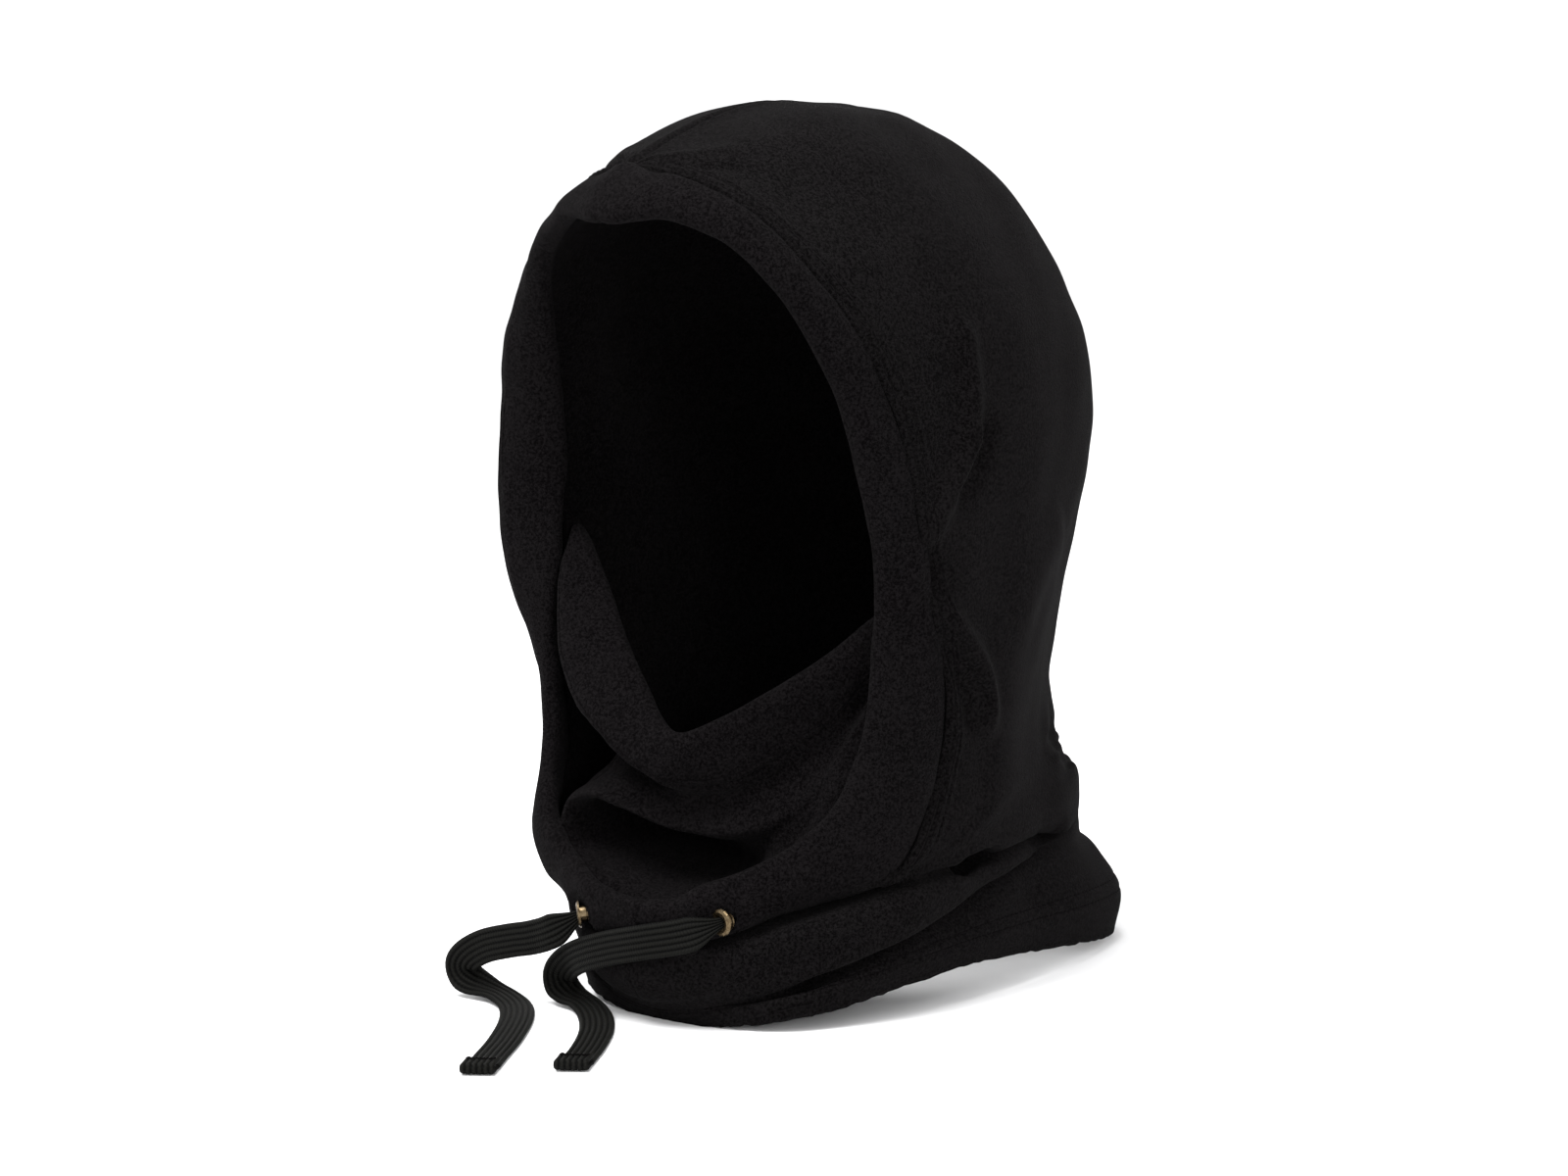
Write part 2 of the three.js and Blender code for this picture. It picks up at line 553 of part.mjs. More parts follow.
for (const side of Object.keys(SIDES)) {
  const route = through(CORD_ROUTE[side].map(vector));
  const tube = new THREE.ExtrudeGeometry(cordSection, { steps: 26, extrudePath: route, bevelEnabled: false });
  add(`drawcord_${side}`, tube, BRAID_BLACK);

  // The tip is folded back on itself and stitched across.
  const tip = route.getPoint(1);
  const heading = route.getTangent(1).setZ(0).normalize();
  const angle = Math.atan2(heading.y, heading.x);
  const fold = new THREE.BoxGeometry(8, CORD_WIDTH, 4);
  const tack = new THREE.BoxGeometry(1.2, CORD_WIDTH - 3, 0.8);
  const centre = tip.clone().addScaledVector(heading, 4 + GAP).setZ(2.05);
  fold.rotateZ(angle).translate(centre.x, centre.y, centre.z);
  tack.rotateZ(angle).translate(centre.x, centre.y, 4.05 + GAP + 0.4);
  add(`cord_end_${side}`, fold, BRAID_BLACK);
  add(`cord_end_stitch_${side}`, tack, THREAD_BLACK);
}

export default model;
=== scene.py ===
import math

import bmesh
import bpy
import numpy as np
from mathutils import Matrix, Vector


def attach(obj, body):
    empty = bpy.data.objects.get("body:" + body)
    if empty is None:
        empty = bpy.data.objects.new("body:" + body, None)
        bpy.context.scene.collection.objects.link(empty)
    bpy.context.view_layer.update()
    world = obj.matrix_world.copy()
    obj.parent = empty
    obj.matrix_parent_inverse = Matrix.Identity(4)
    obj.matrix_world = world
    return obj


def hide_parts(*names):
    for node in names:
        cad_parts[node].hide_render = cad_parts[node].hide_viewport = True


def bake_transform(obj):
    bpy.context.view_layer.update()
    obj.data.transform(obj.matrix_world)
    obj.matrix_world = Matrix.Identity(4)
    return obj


# The looks of a black fleece balaclava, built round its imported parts. Shapes are worked out in
# millimetres, in the part's own frame before its shift, and written to meshes in metres.

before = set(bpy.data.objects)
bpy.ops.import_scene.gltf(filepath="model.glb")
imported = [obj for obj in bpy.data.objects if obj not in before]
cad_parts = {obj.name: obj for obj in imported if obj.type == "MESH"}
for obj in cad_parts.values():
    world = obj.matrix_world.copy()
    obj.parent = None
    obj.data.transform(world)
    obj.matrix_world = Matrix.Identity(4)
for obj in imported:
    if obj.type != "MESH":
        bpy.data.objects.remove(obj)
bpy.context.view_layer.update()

MM = 0.001
SHIFT = np.array([2.09, -4.72, 0.0])      # the part's shift, mm
SIDES = {"left": 1, "right": -1}

# ---- Camera ----

CAMERA = {"azimuth": 42, "elevation": 8, "distance": 1.5, "lens": 85, "roll": -1.5}
AIM = Vector((0.00209, -0.03072, 0.163))


def add_object(name, data):
    thing = bpy.data.objects.new(name, data)
    bpy.context.scene.collection.objects.link(thing)
    return thing


def make_camera():
    azimuth, elevation = math.radians(CAMERA["azimuth"]), math.radians(CAMERA["elevation"])
    back = Vector((math.sin(azimuth) * math.cos(elevation),
                   -math.cos(azimuth) * math.cos(elevation), math.sin(elevation)))
    right = (-back).cross(Vector((0, 0, 1))).normalized()
    up = right.cross(-back)
    roll = math.radians(CAMERA["roll"])
    right, up = (right * math.cos(roll) + up * math.sin(roll),
                 up * math.cos(roll) - right * math.sin(roll))
    data = bpy.data.cameras.new("camera")
    data.lens = CAMERA["lens"]
    data.sensor_width = 36
    data.dof.use_dof = False
    camera = add_object("camera", data)
    place = AIM + back * CAMERA["distance"]
    camera.matrix_world = Matrix.Translation(place) @ Matrix((right, up, back)).transposed().to_4x4()
    bpy.context.scene.camera = camera


make_camera()

# ---- Curves, grids and meshes ----

EDGE_ROWS = 5             # rows that round the edge between two layers of cloth


def spline(points, at):
    """Points of a smooth line through `points` at parameters `at`, 0 to len(points) - 1."""
    points = np.asarray(points, float)
    at = np.clip(np.asarray(at, float), 0, len(points) - 1)
    ends = np.concatenate([[2 * points[0] - points[1]], points, [2 * points[-1] - points[-2]]])
    k = np.minimum(at.astype(int), len(points) - 2)
    u = (at - k).reshape((-1,) + (1,) * (points.ndim - 1))
    p0, p1, p2, p3 = (ends[k + i] for i in range(4))
    return ((2 * u**3 - 3 * u**2 + 1) * p1 + (u**3 - 2 * u**2 + u) * (p2 - p0) / 2
            + (3 * u**2 - 2 * u**3) * p2 + (u**3 - u**2) * (p3 - p1) / 2)


def lengths(line):
    """Distance along a line of points, starting at 0."""
    return np.concatenate([[0], np.cumsum(np.linalg.norm(np.diff(line, axis=0), axis=1))])


def at_lengths(line, at):
    """Points of a line at distances `at` along it."""
    run = lengths(line)
    return np.stack([np.interp(at, run, line[:, k]) for k in range(3)], 1)


def evenly(points, step):
    """The smooth line through `points`, in equal steps of about `step`."""
    fine = spline(points, np.linspace(0, len(points) - 1, 40 * len(points)))
    whole = lengths(fine)[-1]
    return at_lengths(fine, np.linspace(0, whole, max(2, round(whole / step) + 1)))


def unit(v):
    return v / np.maximum(np.linalg.norm(v, axis=-1, keepdims=True), 1e-9)


def smooth_step(x, low, high):
    """0 up to `low`, 1 from `high` on, smooth between."""
    t = np.clip((np.asarray(x, float) - low) / (high - low), 0, 1)
    return t * t * (3 - 2 * t)


def bell(x, width):
    """1 at x = 0, fading out over about `width` on both sides."""
    return np.exp(-(x / width) ** 2)


def fading_ends(along, share):
    """1 along a line (`along` is 0 to 1), fading out over a share of it at each end."""
    return smooth_step(along, -0.02, share) * smooth_step(-along, -1.02, share - 1)


def grid_normals(grid):
    return unit(np.cross(np.gradient(grid, axis=1), np.gradient(grid, axis=0)))


def smoothed(normals, times, own_weight):
    """Normals of a grid evened out with their neighbours, apart from the grid's edges."""
    for _ in range(times):
        normals[1:-1, 1:-1] = unit(normals[1:-1, 1:-1] * own_weight + normals[:-2, 1:-1]
                                   + normals[2:, 1:-1] + normals[1:-1, :-2] + normals[1:-1, 2:])
    return normals


def distance_to(points, line):
    """For each point: distance to a line of points, and how far along the line (0 to 1) it is."""
    best = np.full(len(points), 1e9)
    along = np.zeros(len(points))
    run = lengths(line)
    for k in range(len(line) - 1):
        a, d = line[k], line[k + 1] - line[k]
        t = np.clip(((points - a) @ d) / max(d @ d, 1e-9), 0, 1)
        gap = np.linalg.norm(points - a - t[:, None] * d, axis=1)
        near = gap < best
        best[near] = gap[near]
        along[near] = ((run[k] + t * (run[k + 1] - run[k])) / run[-1])[near]
    return best, along


def ripple(points, wavelength, seed):
    """Soft irregular field, about -1 to 1, made of a few plane waves."""
    waves = 9
    rng = np.random.default_rng(seed)
    total = np.zeros(len(points))
    for _ in range(waves):
        direction = unit(rng.normal(size=3))
        scale = wavelength * rng.uniform(0.7, 1.6)
        total += np.sin(points @ direction * (2 * math.pi / scale) + rng.uniform(0, 2 * math.pi))
    return total / math.sqrt(waves)


# Soft unevenness of each cloth: height, wavelength and seed of its waves.
RIPPLES = {
    "hood": [(0.7, 70, 3), (0.28, 26, 4)],
    "cut_edge": [(0.2, 3.4, 8)],
    "casing": [(0.5, 48, 12), (0.22, 17, 13)],
    "mask": [(0.5, 40, 21), (0.2, 14, 22)],
}
# Lines pressed into the cloth, or raised: height and width, the width of the last three in levels.
GROOVES = {
    "seam": (-1.1, 0.9),
    "needle": (-0.8, 0.7),
    "centre_seam": (-1.1, 1.5),
    "centre_edge": (0.5, 1.3),
    "crown_join": (-0.4, 1.2),
    "hem_stitch": (-0.55, 0.055),
    "band_stitch": (-0.45, 0.05),
    "under_band": (-0.9, 0.06),
}


def ripples(name, points):
    return sum(height * ripple(points, wavelength, seed) for height, wavelength, seed in RIPPLES[name])


def groove(name, offset):
    """Height of a line in the cloth at an offset from its middle."""
    height, width = GROOVES[name]
    return height * bell(offset, width)


def mesh_object(name, vertices, faces, uvs=None):
    """Smooth mesh from points in millimetres; `uvs` is one pair a vertex."""
    mesh = bpy.data.meshes.new(name)
    placed = (np.asarray(vertices) + SHIFT) * MM
    mesh.from_pydata(placed.tolist(), [], [tuple(int(i) for i in f) for f in faces])
    mesh.validate()
    mesh.polygons.foreach_set("use_smooth", [True] * len(mesh.polygons))
    if uvs is not None:
        layer = mesh.uv_layers.new(name="UVMap")
        index = np.empty(len(mesh.loops), int)
        mesh.loops.foreach_get("vertex_index", index)
        layer.data.foreach_set("uv", np.asarray(uvs, np.float32)[index].ravel())
    mesh.update()
    return add_object(name, mesh)


def outward(thing):
    """Turns the faces of a closed mesh outward."""
    bm = bmesh.new()
    bm.from_mesh(thing.data)
    bmesh.ops.recalc_face_normals(bm, faces=bm.faces)
    bm.to_mesh(thing.data)
    bm.free()
    return thing


def grid_faces(rows, cols, start=0, wrap_rows=False, wrap_cols=False):
    """Quads of a grid of rows x cols vertices whose first index is `start`."""
    i, j = np.meshgrid(np.arange(rows if wrap_rows else rows - 1),
                       np.arange(cols if wrap_cols else cols - 1), indexing="ij")
    i, j = i.ravel(), j.ravel()
    a = start + i * cols + j
    b = start + i * cols + (j + 1) % cols
    c = start + ((i + 1) % rows) * cols + (j + 1) % cols
    d = start + ((i + 1) % rows) * cols + j
    return np.stack([a, b, c, d], 1)


def tube_object(name, rings, uvs=None):
    """Mesh through rings of points, capped at both ends."""
    rows, cols = rings.shape[:2]
    faces = [tuple(f) for f in grid_faces(rows, cols, wrap_cols=True)]
    faces += [tuple(range(cols))[::-1], tuple((rows - 1) * cols + k for k in range(cols))]
    return outward(mesh_object(name, rings.reshape(-1, 3), faces, uvs))


def rounded_edge(outer, inner, way):
    """Rows that join the first rows of two layers in a half circle, bulging towards `way`."""
    middle = (outer[0] + inner[0]) / 2
    half = (outer[0] - inner[0]) / 2
    bulge = way * np.linalg.norm(half, axis=1, keepdims=True)
    angles = [math.pi * k / (EDGE_ROWS + 1) for k in range(1, EDGE_ROWS + 1)]
    return np.array([middle + half * math.cos(a) + bulge * math.sin(a) for a in angles])


def layered_faces(rows, cols):
    """Faces round a cloth of two layers of rows x cols points, rounded at its first row."""
    total = 2 * rows + EDGE_ROWS
    faces = [tuple(f) for f in grid_faces(total, cols)]
    last = (total - 1) * cols
    faces += [(j, last + j, last + j + 1, j + 1) for j in range(cols - 1)]
    for j in (0, cols - 1):
        for i in range(rows - 1):
            a, b = i * cols + j, (i + 1) * cols + j
            c, d = (total - 1 - i) * cols + j, (total - 2 - i) * cols + j
            faces.append((a, b, d, c))
        faces.append(tuple((rows - 1 + k) * cols + j for k in range(EDGE_ROWS + 2)))
    return faces


# ---- Materials ----

BRAID_RIBS = 6            # lengthwise ribs on each face of the drawcord's braid
PANEL_PILE = ((0.0006, 0.00045, 0.0005), (0.0045, 0.0040, 0.0042))      # dark and light
FOLDED_PILE = ((0.0007, 0.0005, 0.0006), (0.0045, 0.0039, 0.0042))


class Nodes:
    """Short calls for building one material."""

    def __init__(self, name):
        self.material = bpy.data.materials.new(name)
        self.material.use_nodes = True
        self.tree = self.material.node_tree
        self.shader = self.tree.nodes["Principled BSDF"]

    def link(self, a, b):
        self.tree.links.new(a, b)

    def math(self, operation, a, b=None, c=None):
        node = self.tree.nodes.new("ShaderNodeMath")
        node.operation = operation
        for k, value in enumerate((a, b, c)):
            if value is None:
                continue
            if isinstance(value, (int, float)):
                node.inputs[k].default_value = value
            else:
                self.link(value, node.inputs[k])
        return node.outputs[0]

    def noise(self, scale, detail, roughness, stretch=None):
        vector = self.tree.nodes.new("ShaderNodeTexCoord").outputs["Object"]
        if stretch is not None:
            mapping = self.tree.nodes.new("ShaderNodeMapping")
            mapping.inputs["Scale"].default_value = stretch
            self.link(vector, mapping.inputs["Vector"])
            vector = mapping.outputs["Vector"]
        node = self.tree.nodes.new("ShaderNodeTexNoise")
        node.inputs["Scale"].default_value = scale
        node.inputs["Detail"].default_value = detail
        node.inputs["Roughness"].default_value = roughness
        self.link(vector, node.inputs["Vector"])
        return node.outputs["Fac"]

    def ramp(self, value, stops):
        node = self.tree.nodes.new("ShaderNodeValToRGB")
        elements = node.color_ramp.elements
        while len(elements) < len(stops):
            elements.new(0.5)
        for element, (place, color) in zip(elements, stops):
            element.position = place
            element.color = (*color, 1)
        self.link(value, node.inputs["Fac"])
        return node.outputs["Color"]

    def bump(self, height, strength, distance, normal=None):
        node = self.tree.nodes.new("ShaderNodeBump")
        node.inputs["Strength"].default_value = strength
        node.inputs["Distance"].default_value = distance
        self.link(height, node.inputs["Height"])
        if normal is not None:
            self.link(normal, node.inputs["Normal"])
        return node.outputs["Normal"]

    def feed(self, name, value):
        """Links a value to one of the shader's inputs."""
        self.link(value, self.shader.inputs[name])

    def set(self, **values):
        for key, value in values.items():
            self.shader.inputs[key.replace("_", " ")].default_value = value


def fleece_material(name, dark, light):
    """Brushed fleece: a matt pile with fine grain and soft clumps, palest at a grazing angle."""
    n = Nodes(name)
    clumps = n.noise(300, 4, 0.65)
    blotches = n.noise(22, 3, 0.5)
    pile = n.noise(900, 3, 0.75)
    mixed = n.math("MULTIPLY_ADD", blotches, 0.12, n.math("MULTIPLY", clumps, 0.13))
    grain = n.math("MULTIPLY_ADD", pile, 0.75, mixed)
    n.feed("Base Color", n.ramp(grain, [(0.42, dark), (0.58, light)]))
    n.feed("Roughness", n.math("MULTIPLY_ADD", blotches, 0.12, 0.84))
    rough = n.bump(clumps, 0.35, 0.0006)
    n.feed("Normal", n.bump(pile, 0.9, 0.0008, rough))
    n.set(Sheen_Weight=0.006, Sheen_Roughness=0.5, Sheen_Tint=(1, 0.96, 0.98, 1),
          Specular_IOR_Level=0.015)
    return n.material


def braid_material():
    """Flat tubular braid: lengthwise ribs of slanting yarns, with painted shade in the furrows between the
    ribs and between the yarns.
    """
    n = Nodes("flat_braid")
    uv = n.tree.nodes.new("ShaderNodeUVMap")
    uv.uv_map = "UVMap"
    split = n.tree.nodes.new("ShaderNodeSeparateXYZ")
    n.link(uv.outputs["UV"], split.inputs["Vector"])
    across, along = split.outputs["X"], split.outputs["Y"]
    ribs = n.math("MULTIPLY", across, float(BRAID_RIBS))
    slant = n.math("PINGPONG", ribs, 1.0)
    crown = n.math("SINE", n.math("MULTIPLY", n.math("FRACT", ribs), math.pi))
    yarn = n.math("SINE", n.math("MULTIPLY", n.math("MULTIPLY_ADD", slant, 0.6, along), 2 * math.pi))
    fibre = n.noise(2600, 2, 0.6)
    height = n.math("MULTIPLY_ADD", yarn, 0.25, n.math("MULTIPLY_ADD", fibre, 0.4, crown))
    # painted shade: the colour darkens where the ribs and yarns are low, as in the furrows; the fibre
    # noise is the yarn's own random tone
    rib_shade_and_fibre = n.math("MULTIPLY_ADD", fibre, 0.3, n.math("MULTIPLY", crown, 0.7))
    tone = n.math("MULTIPLY_ADD", yarn, 0.08, rib_shade_and_fibre)
    n.feed("Base Color", n.ramp(tone, [(0.3, (0.0004, 0.0004, 0.00035)), (0.6, (0.0023, 0.0023, 0.0019)),
                                       (0.95, (0.0046, 0.0045, 0.0039))]))
    n.feed("Roughness", n.math("MULTIPLY_ADD", fibre, 0.2, 0.55))
    n.feed("Normal", n.bump(height, 0.7, 0.0004))
    n.set(Sheen_Weight=0.006, Sheen_Roughness=0.4, Sheen_Tint=(1, 1, 0.92, 1),
          Specular_IOR_Level=0.045)
    return n.material


def yarn_material(name, grain, tones, bump, roughness, specular):
    """Plain yarn, thread or elastic: noise drawn out along its length; `tones` is dark, light."""
    n = Nodes(name)
    scale, detail, stretch = grain
    twist = n.noise(scale, detail, 0.5, stretch)
    n.feed("Base Color", n.ramp(twist, [(0.3, tones[0]), (0.7, tones[1])]))
    n.feed("Normal", n.bump(twist, *bump))
    n.set(Roughness=roughness, Specular_IOR_Level=specular)
    return n.material


def brass_material():
    """Antique brass with patchy tarnish and darker specks."""
    n = Nodes("antique_brass")
    tarnish = n.noise(420, 4, 0.65)
    scuff = n.noise(2600, 3, 0.6)
    tone = n.math("ADD", n.math("MULTIPLY", tarnish, 0.7), n.math("MULTIPLY", scuff, 0.3))
    n.feed("Base Color", n.ramp(tone, [(0.32, (0.034, 0.023, 0.012)), (0.5, (0.106, 0.076, 0.042)),
                                       (0.7, (0.2, 0.16, 0.1))]))
    n.feed("Roughness", n.math("MULTIPLY_ADD", scuff, 0.3, 0.2))
    n.feed("Normal", n.bump(scuff, 0.15, 0.0001))
    n.set(Metallic=1.0)
    return n.material


FLEECE = fleece_material("black_fleece", *PANEL_PILE)
CASING_FLEECE = fleece_material("casing_fleece", *FOLDED_PILE)
MASK_FLEECE = fleece_material("mask_fleece", *FOLDED_PILE)
BRAID = braid_material()
INNER_BRAID = yarn_material("inner_braid", (900, 2, (1, 1, 0.35)),
                            ((0.008, 0.009, 0.008), (0.03, 0.031, 0.028)), (0.6, 0.0004), 0.7, 0.3)
THREAD = yarn_material("sewing_thread", (2200, 2, (1, 1, 0.4)),
                       ((0.0011, 0.0009, 0.0010), (0.0030, 0.0026, 0.0028)), (0.5, 0.0002), 0.8, 0.01)
ELASTIC = yarn_material("nape_elastic", (700, 1, (4, 4, 0.3)),
                        ((0.006, 0.006, 0.006), (0.02, 0.02, 0.02)), (0.5, 0.0004), 0.8, 0.25)
BRASS = brass_material()


def finish_piece(thing, material, body):
    """Material, material slot and body of a piece; a piece given no body is not attached."""
    thing.data.materials.clear()
    thing.data.materials.append(material)
    if body is not None:
        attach(thing, body)


# ---- Free ends of the drawcord ----

# Eyelet to tip, the route of the part's own cords. Beside each point: the way the braid's width
# lies there, upright while it droops over the neck and flat once it is on the ground.
CORD_ROUTE = {
    "left": [(35, -110, 44.5), (27, -118, 40.5), (8, -123, 36), (-11, -122.5, 31), (-29, -119.5, 25),
             (-42, -115, 19), (-50, -111.5, 13), (-51.5, -109.5, 8.5), (-46.5, -109.5, 5.2),
             (-36.5, -111, 3.4), (-23.5, -118.7, 2.2), (-7, -134.5, 2.1), (8, -154, 2.1),
             (21, -174, 2.1)],
    "right": [(-37, -117, 39), (-44, -121, 33), (-55, -121.5, 29), (-66, -123, 26.5),
              (-78.5, -125, 23), (-88, -126, 18), (-92.5, -125.8, 13), (-91.5, -124, 8.6),
              (-84, -121.5, 5.4), (-72.5, -122, 3.6), (-59, -128, 2.3), (-43.5, -143, 2.1),
              (-25.5, -166.5, 2.1), (-12, -187, 2.1), (-4, -199, 2.1)],
}
CORD_WIDTH_WAY = {
    "left": [(0, 0.2, 1), (0, 0.1, 1), (0, 0, 1), (0, 0, 1), (-0.1, 0, 1), (-0.35, -0.25, 0.9),
             (-0.6, -0.5, 0.6), (-0.74, -0.67, 0.2), (-0.72, -0.7, 0), (-0.5, -0.8, 0),
             (-0.62, -0.78, 0), (-0.72, -0.69, 0), (-0.82, -0.57, 0), (-0.85, -0.52, 0)],
    "right": [(0, 0.2, 1), (0, 0.1, 1), (0, 0, 1), (0, 0, 1), (-0.1, 0, 1), (-0.4, -0.25, 0.85),
              (-0.6, -0.5, 0.6), (-0.74, -0.67, 0.2), (-0.7, -0.7, 0), (-0.4, -0.9, 0),
              (-0.59, -0.81, 0), (-0.77, -0.64, 0), (-0.84, -0.54, 0), (-0.84, -0.54, 0),
              (-0.84, -0.54, 0)],
}
BRAID_SIZE = {"width": 14.0, "thickness": 2.2, "rib_height": 0.45, "yarn": 1.3}
BRAID_STEP = 0.8          # from one section of the braid to the next
IN_BARREL = 1.0           # how far inside the eyelet the visible braid starts
BUNCHED = {"width": 4.6, "thickness": 3.6}      # the braid in the eyelet
FLARE = 15.0              # it opens to its full width over this length
GROUND_SINK = 1.0         # the flat braid lies this much lower than the part's round cord
SINKS_BETWEEN = (12.0, 2.4)     # heights between which that comes on
EDGE_ROOM = 1.0           # room under the braid's lower edge where it stands upright
SETTLED = 0.98            # share of its own height that the braid keeps off the ground
# Folded tip: length before it turns back, radius of the turn, and its own section.
TIP = {"length": 7.0, "turn": 1.35, "width": 13.6, "thickness": 1.8}
# Zigzag tack across the tip: where it runs, how far it swings, half its width, and its height.
TACK = {"at": 1.6, "swing": 0.9, "half_width": 5.6, "zigzags": 16, "above": 1.25}
THREAD_RADIUS = 0.28


def eyelet_axis(side):
    """Middle of an eyelet's points and the way its axis points, from its own mesh."""
    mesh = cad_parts[f"eyelet_{side}"].data
    points = np.array([v.co for v in mesh.vertices]) / MM - SHIFT
    centre = points.mean(0)
    _, _, axes = np.linalg.svd(points - centre)
    axis = axes[2] if axes[2][1] < 0 else -axes[2]
    return centre, axis


def braid_section(width, thickness):
    """Section of the flat braid, round once: a thin slab with ribs on both faces."""
    across = np.linspace(-1, 1, 8 * BRAID_RIBS + 1)
    ribs = BRAID_SIZE["rib_height"] * np.abs(np.sin((across + 1) / 2 * math.pi * BRAID_RIBS))
    edge = np.sqrt(np.clip(1 - np.abs(across) ** 8, 0, 1))
    half = (thickness / 2 + ribs - BRAID_SIZE["rib_height"]) * edge
    top = np.stack([across * width / 2, half], 1)
    low = np.stack([across[::-1] * width / 2, -half[::-1]], 1)[1:-1]
    return np.concatenate([top, low]), np.concatenate([(across + 1) / 2, (across[::-1][1:-1] + 1) / 2])


def ribbon_frames(line, width_way):
    """Tangent, width direction and face direction along a line."""
    tangent = unit(np.gradient(line, axis=0))
    width = unit(width_way - tangent * np.sum(width_way * tangent, axis=1, keepdims=True))
    return tangent, width, np.cross(tangent, width)


def ribbon(name, line, width_way, widths, thickness):
    """Flat braid along a line of points; `widths` and `thickness` change along it."""
    _, width, face = ribbon_frames(line, width_way)
    run = lengths(line)
    rings, uvs = [], []
    for k, at in enumerate(line):
        section, across = braid_section(widths[k], thickness[k])
        rings.append(at + section[:, :1] * width[k] + section[:, 1:] * face[k])
        uvs.append(np.stack([across, np.full(len(across), run[k] / BRAID_SIZE["yarn"])], 1))
    return tube_object(name, np.array(rings), np.concatenate(uvs))


def free_cord(side):
    """Braid from the eyelet to the ground; also its middle line and the way its width lies."""
    body = f"cord_{side}"
    route = np.array(CORD_ROUTE[side], float)
    centre, axis = eyelet_axis(side)
    route[0] = centre - axis * IN_BARREL
    count = len(route) - 1
    fine = np.linspace(0, count, 60 * count)
    dense = spline(route, fine)
    run = lengths(dense)
    at = np.linspace(0, run[-1], round(run[-1] / BRAID_STEP))
    line = at_lengths(dense, at)
    ways = unit(spline(CORD_WIDTH_WAY[side], np.interp(at, run, fine)))
    high, low = SINKS_BETWEEN
    line[:, 2] -= GROUND_SINK * smooth_step(-line[:, 2], -high, -low)
    open_up = smooth_step(at, 0, FLARE)
    widths = BUNCHED["width"] + (BRAID_SIZE["width"] - BUNCHED["width"]) * open_up
    thickness = BUNCHED["thickness"] + (BRAID_SIZE["thickness"] - BUNCHED["thickness"]) * open_up
    _, width, _ = ribbon_frames(line, ways)
    reach = np.abs(width[:, 2]) * widths / 2 + EDGE_ROOM
    line[:, 2] = np.maximum(line[:, 2], reach * SETTLED)
    piece = ribbon(f"braid_{side}", line, ways, widths, thickness)
    finish_piece(piece, BRAID, body)
    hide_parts(f"drawcord_{side}")
    return piece, line, ways


def cord_tip(side, line, ways):
    """End of the braid folded back on itself and sewn down."""
    tangent, width, _ = ribbon_frames(line, ways)
    forward = unit(tangent[-1] * np.array([1, 1, 0]))
    flat = unit(width[-1] * np.array([1, 1, 0]))
    start = line[-1] + forward * 0.2
    up = np.array([0, 0, TIP["turn"]])
    steps = [start + forward * d for d in (0, 2, 4, 6, TIP["length"])]
    steps += [start + forward * (TIP["length"] + TIP["turn"] * math.sin(a)) + up * (1 - math.cos(a))
              for a in np.linspace(0.5, math.pi, 6)]
    steps += [start + forward * d + 2 * up for d in (5, 2.5, 0, -2.5)]
    path = evenly(steps, 0.6)
    path[:, 2] += 0.1
    size = len(path)
    tip = ribbon(f"braid_tip_{side}", path, np.repeat(flat[None], size, 0),
                 np.full(size, TIP["width"]), np.full(size, TIP["thickness"]))
    finish_piece(tip, BRAID, f"cord_{side}")
    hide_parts(f"cord_end_{side}")

    rows = []
    for k in range(TACK["zigzags"] + 1):
        side_way = k / TACK["zigzags"] * 2 - 1
        swing = TACK["swing"] if k % 2 else -TACK["swing"]
        rows.append(start + forward * (TACK["at"] + swing) + flat * side_way * TACK["half_width"]
                    + np.array([0, 0, 2 * TIP["turn"] + TACK["above"]]))
    tack = thread_along(f"tack_{side}", np.array(rows))
    finish_piece(tack, THREAD, f"cord_{side}")
    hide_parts(f"cord_end_stitch_{side}")
    return tip, tack


def thread_along(name, line):
    """Round thread along a line of points."""
    tangent = unit(np.gradient(line, axis=0))
    helper = np.where(np.abs(tangent[:, 2:]) > 0.9, [[1.0, 0, 0]], [[0, 0, 1.0]])
    u = unit(np.cross(tangent, helper))
    v = np.cross(tangent, u)
    angle = np.linspace(0, 2 * math.pi, 6, endpoint=False)[None, :, None]
    rings = line[:, None] + THREAD_RADIUS * (np.cos(angle) * u[:, None] + np.sin(angle) * v[:, None])
    return tube_object(name, rings)


def all_cords():
    for side in SIDES:
        piece, line, ways = free_cord(side)
        tip, tack = cord_tip(side, line, ways)


all_cords()

# ---- Hood ----

# The part's own control points: the seam between hood and casing, the rim of the face opening,
# the neck rows and the hood rows, as (distance from the middle, y, z).
SEAM = {
    "left": [(0, -116, 34), (20, -111, 36), (36, -103, 40), (50, -87, 47), (65, -66, 52), (75, -53, 57),
             (81, -45, 68), (84, -36, 88), (86, -30, 110), (88, -31, 134), (91, -41, 160),
             (93, -49, 186), (92, -54, 213), (90, -62, 243), (84, -76, 273), (72, -90, 299),
             (52, -101, 321), (29, -107, 331), (0, -110, 336)],
    "right": [(0, -116, 34), (20, -113, 34), (37, -109, 36), (53, -102, 42), (70, -97, 49),
              (80, -90, 59), (81, -82, 73), (82, -75, 92), (86, -74, 114), (93, -78, 136),
              (98, -83, 160), (101, -85, 186), (101, -86, 213), (98, -86, 243),
              (89.5, -89.5, 270), (72.5, -94.5, 296), (47, -99, 317), (25, -106, 330), (0, -110, 336)],
}
